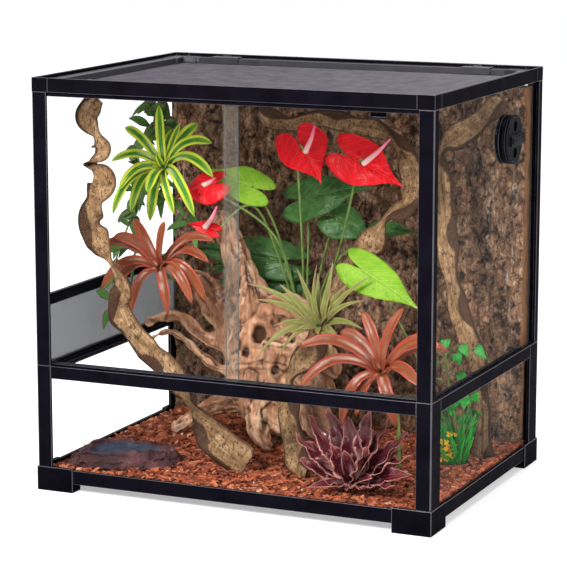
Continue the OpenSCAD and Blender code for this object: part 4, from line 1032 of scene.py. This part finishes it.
def veined_material(name, low, high, vein, deep, rough, spec, thin=0.2, pitch=7.5, mottle=0.5,
                    coat=0.0):
    """Broad leaf or spathe: midrib, side veins and soft fields between them."""
    m = Mat(name)
    leaf = m.tag("leaf", "Vector")
    off = m.math("ABSOLUTE", m.axis(leaf, "Y"))
    soft = m.noise(60, 4, 0.6)
    slant = m.math("SUBTRACT", m.axis(leaf, "X"), m.mul(off, 0.42))
    wave = m.math("FRACT", m.mul(slant, pitch))
    gap = m.mul(m.math("ABSOLUTE", m.math("SUBTRACT", wave, 0.5)), 2.0)
    side_vein = m.mul(m.ramp(gap, (0.82, 0.0), (0.97, 1.0)), m.ramp(off, (0.0, 1.0), (0.85, 0.25)))
    lines = m.math("MAXIMUM", side_vein, m.ramp(off, (0.0, 1.0), (0.055, 0.0)))
    netting = m.ramp(m.cells(330, feature="DISTANCE_TO_EDGE"), (0.0, mottle * 0.5), (0.08, 0.0))
    c = m.mix(netting, m.ramp(soft, (0.3, low), (0.7, high)), deep)
    c = m.mix(m.mul(lines, 0.6), c, vein)
    waves = m.noise(95, 2, 0.5, distort=1.2)
    normal = m.bump(m.weigh((soft, 0.4), (lines, -0.5), (netting, -0.3), (waves, 0.9)), 0.6, 0.0026)
    gloss = m.ramp(soft, (0.3, rough), (0.7, rough + 0.12))
    if coat:
        wax = {"Normal": normal, "Coat Weight": coat, "Coat Roughness": 0.14}
        return m.show(m.principled(c, gloss, spec, wax))
    return leaf_bsdf(m, c, gloss, spec, normal, thin)


def stem_material():
    m = Mat("green_stem")
    color = m.ramp(m.noise(140, 4, 0.6, (1, 1, 0.3)), (0.3, (0.06, 0.12, 0.02)),
                   (0.7, (0.20, 0.28, 0.07)))
    fine = m.noise(700, 2, 0.6)
    return m.surface(color, m.ramp(fine, (0.3, 0.42), (0.7, 0.6)), 0.4, fine, 0.3, 0.0005)


def rosette(pool, core, tips, width, lift, up, shape, seed, inner=3, swing=22.0, **kw):
    """Strap leaves that arch from a core to the given tips, and a few short ones at the heart."""
    core = np.asarray(core, float)
    r = rng(seed)
    for k, tip in enumerate(np.asarray(tips, float)):
        w = width * (0.88 + 0.24 * r.random())
        bend = np.array([-tip[2] * 0.12 * r.uniform(-1, 1),
                         -0.16 * abs(tip[2]) - 0.22 * max(0, -tip[2]),
                         lift * math.hypot(tip[0], tip[1] * 0.5)])
        if tip[2] < -20:
            bend += [0.12 * tip[0], 0, -0.3 * tip[2]]
        blade(pool, core + unit(tip) * width * 0.12, core + tip, w, bend=bend, up=up,
              seed=seed * 100 + k, shape=shape, twist=r.uniform(-swing, swing), **kw)
    for k in range(inner):
        a = k * 2.4 + seed
        d = unit(np.array([math.cos(a), 0, math.sin(a)]) * 0.8 + unit(up) * 0.9)
        blade(pool, core, core + d * width * r.uniform(1.4, 2.2), width * 0.6, lift=width * 0.3,
              up=up, seed=seed * 100 + 50 + k, shape=(0.8, 0.3, 2.0), nl=8)


def variegated_bromeliad():
    pool = Pool()
    core = (-212, 8, 439)
    tips = [[-7, 0, 93], [-56, -14, 59], [-66, -38, 12], [-52, -42, -30], [-42, -26, -64],
            [-6, -34, -74], [66, -32, -64], [98, -36, -3], [82, -6, 42], [48, 18, 66], [2, 30, 56],
            [4, -60, -28]]
    more = [[22, 10, 66], [34, -34, -62], [-62, -44, -66]]
    up = [0.1, -0.8, 0.5]
    rosette(pool, core, tips, 15.5, 0.5, up, (0.62, 0.6, 3.6), 2, fold=0.35)
    rosette(pool, core, more, 12, 0.3, up, (0.6, 0.6, 3.4), 3, inner=0, fold=0.35)
    leaf = strap_material("variegated_leaf", (0.045, 0.23, 0.016), (0.78, 0.84, 0.06),
                          (0.025, 0.13, 0.012), edge=(0.36, 0.56), streak=0.25,
                          tip=(0.34, 0.50, 0.06), pale=(0.74, 0.80, 0.30), patch=0.35,
                          shine=(0.88, 0.92, 0.62))
    leaves(pool, "variegated_bromeliad_leaves", leaf, 0.5, node="variegated_bromeliad",
           slot="leaf_variegated")
    stem = Pool()
    tube(stem, [[-212, 12, 432], [-236, 40, 426], [-254.6, 53, 428]], 3)
    tube(stem, [[-212, 2, 436], [-212, 14, 430]], [6, 5], n=4)
    stem.make("variegated_bromeliad_stem", STEM, node="variegated_bromeliad")


def red_bromeliads(stem):
    red = strap_material("red_bromeliad_leaf", (0.27, 0.066, 0.020), (0.54, 0.072, 0.048),
                         (0.13, 0.022, 0.012), edge=(0.66, 0.9), streak=0.35, rough=0.20, spec=0.35,
                         tip=(0.34, 0.085, 0.028), pale=(0.46, 0.13, 0.075), patch=0.5,
                         shine=(0.86, 0.56, 0.48))
    left, right = Pool(), Pool()
    rosette(left, (-194, -44, 300),
            [[-22, -36, 76], [26, -32, 74], [-56, -36, 47], [-80, -34, 30], [-74, -40, -29],
             [-62, -26, -34], [-32, -36, -70], [34, -40, -60], [66, -26, -44], [78, -6, -43],
             [86, -12, 16], [90, -4, 46]],
            15, 0.56, [0, -0.8, 0.55], (0.6, 0.62, 3.0), 4, fold=0.45)
    rosette(right, (166, -72, 183),
            [[-106, -44, -26], [-108, -38, 34], [-66, 8, 50], [-36, 18, 80], [29, 10, 92],
             [78, 0, 52], [94, -18, 46], [-50, -26, -84], [-28, -24, -62], [38, -34, -72],
             [70, -36, -6], [84, 44, 28]],
            17, 0.5, [0, -0.75, 0.6], (0.55, 0.62, 3.0), 6, inner=4, fold=0.45)
    for pool, side in ((left, "left"), (right, "right")):
        leaves(pool, "red_bromeliad_" + side + "_leaves", red, 0.6, node="bromeliads",
               slot="leaf_red")
    tube(stem, [[-194, -38, 294], [-190, 0, 276], [-188, 50, 276]], 3)
    tube(stem, [[166, -66, 176], [176, -36, 120], [178, -30, 36]], 3)


def olive_bromeliad(stem):
    olive = strap_material("olive_bromeliad_leaf", (0.24, 0.25, 0.055), (0.34, 0.34, 0.10),
                           (0.10, 0.13, 0.025), edge=(0.5, 0.9), streak=0.5, tip=(0.40, 0.27, 0.15),
                           pale=(0.50, 0.50, 0.24), line=(0.40, 0.17, 0.13))
    pool = Pool()
    reach = np.array([[-72, -20, 23], [-66, -34, -56], [-92, -6, 41], [5, 12, 60], [60, -30, -32],
                      [88, -4, 64], [52, 6, 50], [86, -22, 34], [-25, 10, 64], [-22, -30, -32],
                      [88, -30, -3], [28, 10, 78], [-50, -30, -10], [-50, -6, 50], [50, -34, -50],
                      [-40, -34, -60], [10, -4, 84]], float) + [-12, 0, 10]
    for tips, width, inner, seed in ((reach[:12] * 1.06, 14, 5, 8), (reach[12:] * 0.95, 12, 0, 9)):
        rosette(pool, (50, -22, 230), tips, width, 0.24, [0, -0.7, 0.6], (1.0, 0.1, 1.1), seed,
                inner=inner, fold=0.5)
    leaves(pool, "olive_bromeliad_leaves", olive, 0.5, node="bromeliads", slot="leaf_red")
    tube(stem, [[37, -20, 238], [12, 14, 226], [-6, 52, 222]], 3)


def bromeliads():
    stem = Pool()
    red_bromeliads(stem)
    olive_bromeliad(stem)
    for x, y, z, q in ((-194, -44, 300, 7), (166, -72, 183, 9), (38, -22, 240, 6)):
        tube(stem, [[x, y + 9, z - 10], [x, y + 4, z - 4]], [q * 0.9, q * 0.5], n=4)
    stem.make("bromeliad_stems", STEM, node="bromeliads")


def agave():
    pool = Pool()
    tips = [[-84, -8, 62], [-74, 14, 86], [-48, 20, 98], [-12, 8, 92], [18, 16, 104], [45, 20, 90],
            [78, 6, 78], [90, -8, 48], [-70, -26, 32], [-34, -38, 8], [34, -40, 6], [74, -34, 10],
            [92, -22, 26], [-20, -28, 58], [34, -30, 62], [-60, 30, 40], [60, 34, 50]]
    rosette(pool, (160, -158, 44), tips, 33, 0.12, [0, -0.55, 0.8], (0.65, 0.40, 1.35), 12, inner=5,
            fold=0.55, nl=30, nw=6, teeth=0.15, wave=24.0, swing=55.0)
    leaf = strap_material("dark_red_agave_leaf", (0.115, 0.010, 0.018), (0.72, 0.30, 0.26),
                          (0.030, 0.003, 0.007), edge=(0.80, 0.95), streak=0.6, rough=0.17,
                          spec=0.4, tip=(0.46, 0.12, 0.11), pale=(0.36, 0.09, 0.085), vary=0.5,
                          shine=(0.86, 0.56, 0.55))
    leaves(pool, "dark_red_agave_leaves", leaf, 0.8, node="agave", slot="leaf_agave")


# Each flower: stalk's bend and end, base and tip of the spathe, half width, facing, spadix tip,
# cup, roll, side bend
FLOWERS = [
    [[-60, 80, 330], [-134, 32, 402], [-146, 28, 417], [-196, 8, 402], 29, [0.3, -0.5, 0.8],
     [-140, 54, 428], 0.2, 0.0, -0.3],
    [[-20, 78, 330], [-8, 34, 470], [0, 28, 482], [40, 12, 436], 37, [0.45, -0.75, 0.45],
     [29, 10, 513], 0.22, 0.0, 0.3],
    [[30, 92, 310], [88, 30, 454], [84, 24, 467], [160, 18, 436], 35, [0, -0.9, 0.4],
     [146, 6, 500], 0.14, 0.0, 0.0],
    [[-86, 68, 376], [-138, 27, 346], [-144, 22, 351], [-178, 14, 362], 12, [0, -0.8, 0.5],
     [-129, 16, 386], 0.15, 0.0, 0.0]]
# Each leaf: stalk's bend and end, tip, half width
BROAD = [
    [[-30, 124, 330], [-26, 108, 394], [74, 104, 424], 36],
    [[-4, 126, 310], [22, 112, 364], [84, 104, 342], 29],
    [[10, 124, 290], [96, 104, 356], [156, 94, 360], 13],
    [[-60, 140, 270], [-92, 122, 296], [-232, 110, 314], 34],
    [[-52, 136, 250], [-80, 128, 270], [-205, 118, 284], 26],
    [[-110, 140, 200], [-156, 122, 242], [-204, 112, 198], 28]]
LIME = [[[-66, 92, 340], [-94, 62, 412], [-166, 44, 442], 28],
        [None, [114, -8, 312], [204, -24, 272], 30]]


def spathes(stems, reds, spikes, fork):
    """The flowers: a stalk, a spathe and a spadix each."""
    for k, (bend, end, base, tip, half, facing, spike, cup, roll, side_bend) in enumerate(FLOWERS):
        hook = np.array(base) * 0.8 + np.array(tip) * 0.2
        tube(stems, [fork, bend, end, hook], 1.9, n=30, sides=7)
        heart(reds, base, tip, half, facing, cup=cup, droop=2, lobes=1.35, veins=1.9, seed=40 + k,
              roll=roll, side_bend=side_bend, rings=12, steps=60)
        tube(spikes, [hook, (hook + spike) / 2 + [3, -3, 0], spike], [4.2, 3.6, 2.4, 1.4], n=18,
             sides=10)


def heart_leaves(stems, pool, fork, table, facing, first, **kw):
    for k, (bend, end, tip, half) in enumerate(table):
        if bend:
            tube(stems, [fork, bend, end], 1.8, n=20, sides=7)
        heart(pool, end, tip, half, facing, cup=0.14, lobes=1.2, rings=12, steps=56,
              seed=first + k, **kw)


def spadix_material():
    m = Mat("spadix")
    grains = m.cells(900)
    c = m.ramp(m.tag("along"), (0.0, (0.84, 0.66, 0.58)), (0.35, (0.84, 0.36, 0.40)),
               (0.85, (0.78, 0.10, 0.26)))
    c = m.over(c, grains, (0.2, 0.3), (0.5, 0.0), (0.92, 0.62, 0.60))
    return m.surface(c, m.ramp(grains, (0.1, 0.4), (0.6, 0.6)), 0.4, grains, 0.8, 0.0008)


def anthurium():
    fork = [-40, 136, 170]
    stems, reds, greens, limes, spikes = Pool(), Pool(), Pool(), Pool(), Pool()
    tube(stems, [[-46, 140, 36], [-44, 139, 100], fork], [4.5, 3.6])
    spathes(stems, reds, spikes, fork)
    heart_leaves(stems, greens, fork, BROAD, [0.1, -0.8, 0.5], droop=6, veins=1.3, first=60)
    heart_leaves(stems, limes, fork, LIME, [0, -0.8, 0.55], droop=4, veins=0.8, first=80)
    kw = {"node": "anthurium", "slot": "leaf_green"}
    stems.make("anthurium_stalks", STEM, **kw)
    red = veined_material("red_spathe", (0.56, 0.003, 0.008), (0.80, 0.010, 0.018),
                          (0.86, 0.07, 0.07), (0.34, 0.0, 0.004), 0.16, 0.12, pitch=5.0,
                          mottle=0.8, coat=0.02)
    green = veined_material("dark_green_leaf", (0.020, 0.075, 0.014), (0.060, 0.150, 0.032),
                            (0.14, 0.26, 0.09), (0.010, 0.035, 0.008), 0.22, 0.2, mottle=0.2,
                            thin=0.1)
    lime = veined_material("lime_leaf", (0.20, 0.44, 0.02), (0.36, 0.60, 0.05), (0.60, 0.74, 0.22),
                           (0.10, 0.26, 0.01), 0.28, 0.14, thin=0.3)
    leaves(reds, "anthurium_spathes", red, 0.7, **kw)
    leaves(greens, "anthurium_leaves", green, 0.6, **kw)
    leaves(limes, "lime_heart_leaves", lime, 0.6, **kw)
    spikes.make("anthurium_spadices", spadix_material(), **kw)


def trailing_vine(r, vine, purple):
    """Strands that hang at the left, with narrow leaves all round them."""
    main = [[-280, 62, 568.2], [-256, 60, 548], [-252, 60, 520], [-256, 60, 486], [-262, 56, 446],
            [-266, 42, 404], [-270, 24, 372], [-273, 0, 338], [-273, -28, 306], [-272, -48, 262],
            [-270, -52, 226]]
    strands = [(main, 30), ([[-256, 60, 548], [-240, 56, 520], [-236, 54, 480], [-246, 50, 440],
                             [-262, 36, 400]], 14),
               ([[-256, 60, 500], [-272, 50, 470], [-280, 44, 430], [-276, 30, 390]], 10),
               ([[-270, 24, 372], [-256, 10, 346], [-250, -10, 316], [-262, -30, 280]], 10),
               ([[-246, 50, 440], [-238, 44, 408], [-214, 42, 392], [-192, 40, 366],
                 [-176, 42, 340]], 13),
               ([[-236, 54, 480], [-228, 56, 510], [-240, 60, 540], [-232, 60, 500]], 12)]
    for k, (line, count) in enumerate(strands):
        tube(vine, line, 1.5, n=60, sides=6)
        for j, q in enumerate(curve_points(line, count)[1:]):
            a = j * 2.4 + k
            d = [math.cos(a) * 0.9, -0.45 + 0.2 * math.sin(j), math.sin(a) * 0.7 - 0.25]
            tip = q + unit(d) * r.uniform(24, 42)
            tip[0] = max(tip[0], -288)
            blade(purple, q, tip, r.uniform(9, 14), lift=6, up=[0.1, -0.9, 0.3], nl=10, seed=300 + j,
                  shape=(0.25, 0.4, 1.7), droop=9, fold=0.4, twist=r.uniform(-50, 50))


def arched_stem(vine, foot, end, bow, radius, n=8):
    tube(vine, [foot, (np.array(foot) + end) / 2 + bow, end], radius, n=n, sides=5)


def ground_cover(r, vine, ground):
    """Grassy blades and small round leaves beside the right pane, and a creeper that climbs above them."""
    for k in range(58):
        bx, by = 240 + r.uniform(-16, 14), 34 + r.uniform(-14, 14)
        tip = [bx + r.uniform(-34, 34), by + r.uniform(-22, 16), 36 + r.uniform(30, 92)]
        tip[0] = min(tip[0], 282)
        blade(ground, [bx, by, 33], tip, r.uniform(3, 5.5), lift=8, up=[0.2, -0.9, 0.2], nl=10,
              seed=400 + k, shape=(0.7, 0.35, 1.8), fold=0.4, droop=r.uniform(2, 14))
    for k in range(26):
        at = np.array([238 + r.uniform(-26, 30), 30 + r.uniform(-14, 16), 96 + r.uniform(-26, 44)])
        at[0] = min(at[0], 278)
        arched_stem(vine, [240, 38, 34], at, [2, 0, 6], 0.8)
        d = [r.uniform(-1, 1), -0.5, r.uniform(-0.9, 0.5)]
        heart(ground, at, at + unit(d) * r.uniform(13, 19), r.uniform(7, 10), [0.1, -0.9, 0.4],
              seed=450 + k, rings=4, steps=20, lobes=0.5)
    creeper = [[240, 40, 34.9], [232, 30, 130], [226, 24, 196]]
    tube(vine, creeper, 1.3, n=20, sides=6)
    places = curve_points(creeper, 20)
    for j, out in ((12, [-20, -14, 14]), (14, [22, -12, 10]), (15, [-14, -16, 18]),
                   (17, [18, -10, 16]), (18, [-22, -10, 10]), (19, [26, -6, 18]),
                   (20, [4, -12, 22]), (16, [40, 10, 30])):
        end = places[j] + out
        arched_stem(vine, places[j], end, [0, 0, 5], 0.8)
        heart(ground, end, end + [out[0] * 0.5, -6, -16], 7.5, [0.1, -0.9, 0.4], seed=500 + j,
              rings=5, steps=24, lobes=0.6)


def yellow_flowers(r, vine, flowers):
    for j in range(34):
        at = np.array([222 + r.uniform(-16, 22), 14 + r.uniform(-8, 10), 50 + r.uniform(-12, 34)])
        arched_stem(vine, [238, 34, 34], at, [0, 0, 6], 0.6, n=6)
        for i in range(5):
            a = i * math.pi * 0.4 + j
            d = [math.cos(a), r.uniform(-1.2, 0.2), math.sin(a)]
            blade(flowers, at, at + unit(d) * r.uniform(3.5, 6), 2.4, lift=1.0, up=[0, -1, 0.1],
                  nl=4, seed=600 + j, shape=(0.3, 0.6, 2.4))


def foliage():
    vine, purple, lime_stem, ground, flowers = Pool(), Pool(), Pool(), Pool(), Pool()
    r = rng(31)
    trailing_vine(r, vine, purple)
    tube(lime_stem, [[196, 62, 35], [184, 52, 150], [150, 16, 250], [118, -6, 306]], 1.1, n=24,
         sides=7)
    ground_cover(r, vine, ground)
    yellow_flowers(r, vine, flowers)
    kw = {"node": "foliage", "slot": "leaf_mixed"}
    vine.make("trailing_vine_stems", STEM, **kw)
    lime_stem.make("lime_heart_stalk", STEM, **kw)
    edged = strap_material("purple_edged_leaf", (0.10, 0.34, 0.045), (0.17, 0.36, 0.08),
                           (0.020, 0.10, 0.020), edge=(0.3, 0.6), streak=0.4,
                           line=(0.27, 0.045, 0.12), rim=(0.55, 0.85), vary=0.55)
    bright = strap_material("bright_green_leaf", (0.010, 0.30, 0.020), (0.03, 0.52, 0.04),
                            (0.006, 0.11, 0.010), edge=(0.4, 0.9), streak=0.5, rough=0.24,
                            spec=0.2, pale=(0.10, 0.66, 0.09), vary=0.75)
    petal = strap_material("yellow_petal", (0.86, 0.46, 0.008), (0.92, 0.60, 0.02),
                           (0.66, 0.26, 0.005), streak=0.3)
    leaves(purple, "trailing_vine_leaves", edged, 0.4, **kw)
    leaves(ground, "ground_cover_leaves", bright, 0.4, **kw)
    leaves(flowers, "yellow_flower_heads", petal, 0.4, **kw)


STEM = stem_material()
variegated_bromeliad()
bromeliads()
agave()
anthurium()
foliage()


# ---------- floor, light and camera ----------

def seen(m):
    """1 for rays that see the studio itself, straight or through glass and gloss; else 0."""
    path = m.add("LightPath").outputs
    return m.math("MAXIMUM", path["Is Camera Ray"],
                  m.math("MAXIMUM", path["Is Glossy Ray"], path["Is Transmission Ray"]))


def floor():
    mesh = bpy.data.meshes.new("floor")
    s = 6.0
    mesh.from_pydata([(-s, -s, 0), (s, -s, 0), (s, s, 0), (-s, s, 0)], [], [(0, 1, 2, 3)])
    new_object("floor", mesh)
    m = Mat("pale_floor")
    matte = m.add("BsdfDiffuse", {"Color": (0.80, 0.80, 0.80)}).outputs[0]
    away = m.add("VectorMath", {0: m.pos}, operation="LENGTH").outputs["Value"]
    level = m.add("MapRange", {"Value": away, "From Min": 0.55, "From Max": 2.4, "To Min": 0.42,
                               "To Max": 0.80}, interpolation_type="SMOOTHSTEP").outputs[0]
    glow = m.add("Emission", {"Color": (1, 1, 1), "Strength": m.mul(seen(m), level)}).outputs[0]
    mesh.materials.append(m.show(m.add("AddShader", {0: matte, 1: glow}).outputs[0]))


def world(strength):
    """White wherever it is seen, and a light of this strength for everything else."""
    w = Mat("studio", bpy.data.worlds)
    level = w.math("MULTIPLY_ADD", seen(w), 1.0 - strength, strength)
    sky = w.add("Background", {"Color": (1, 1, 1), "Strength": level}).outputs[0]
    SCENE.world = w.show(sky, "OutputWorld")


def lamp(name, at, size, power):
    light = bpy.data.lights.new(name, "AREA")
    light.shape = "DISK"
    light.size = size
    light.energy = power
    obj = new_object(name, light)
    obj.location = at
    obj.rotation_euler = (LAMP_AIM - Vector(at)).to_track_quat("-Z", "Y").to_euler()


# Where every lamp points, and the photograph's viewpoint: metres, degrees, the lens in millimetres
LAMP_AIM = Vector((0, 0, 0.3))
CAMERA_AT = (1.3767, -3.11767, 0.90982)
CAMERA_DOWN = 10.405
CAMERA_TURN = 24.059
CAMERA_LENS = 152.44

floor()
world(0.36)
lamp("key", (-0.5, -2.3, 1.7), 0.9, 95)
lamp("fill", (1.9, -1.3, 1.0), 1.0, 24)
lamp("top", (0.2, 0.1, 2.4), 1.4, 42)

camera = bpy.data.cameras.new("camera")
camera.lens = CAMERA_LENS
camera.sensor_width = 36
camera.clip_start = 0.05
cam = new_object("camera", camera)
cam.location = CAMERA_AT
cam.rotation_euler = (math.radians(90 - CAMERA_DOWN), 0, math.radians(CAMERA_TURN))
SCENE.camera = cam
SCENE.view_settings.view_transform = "Standard"
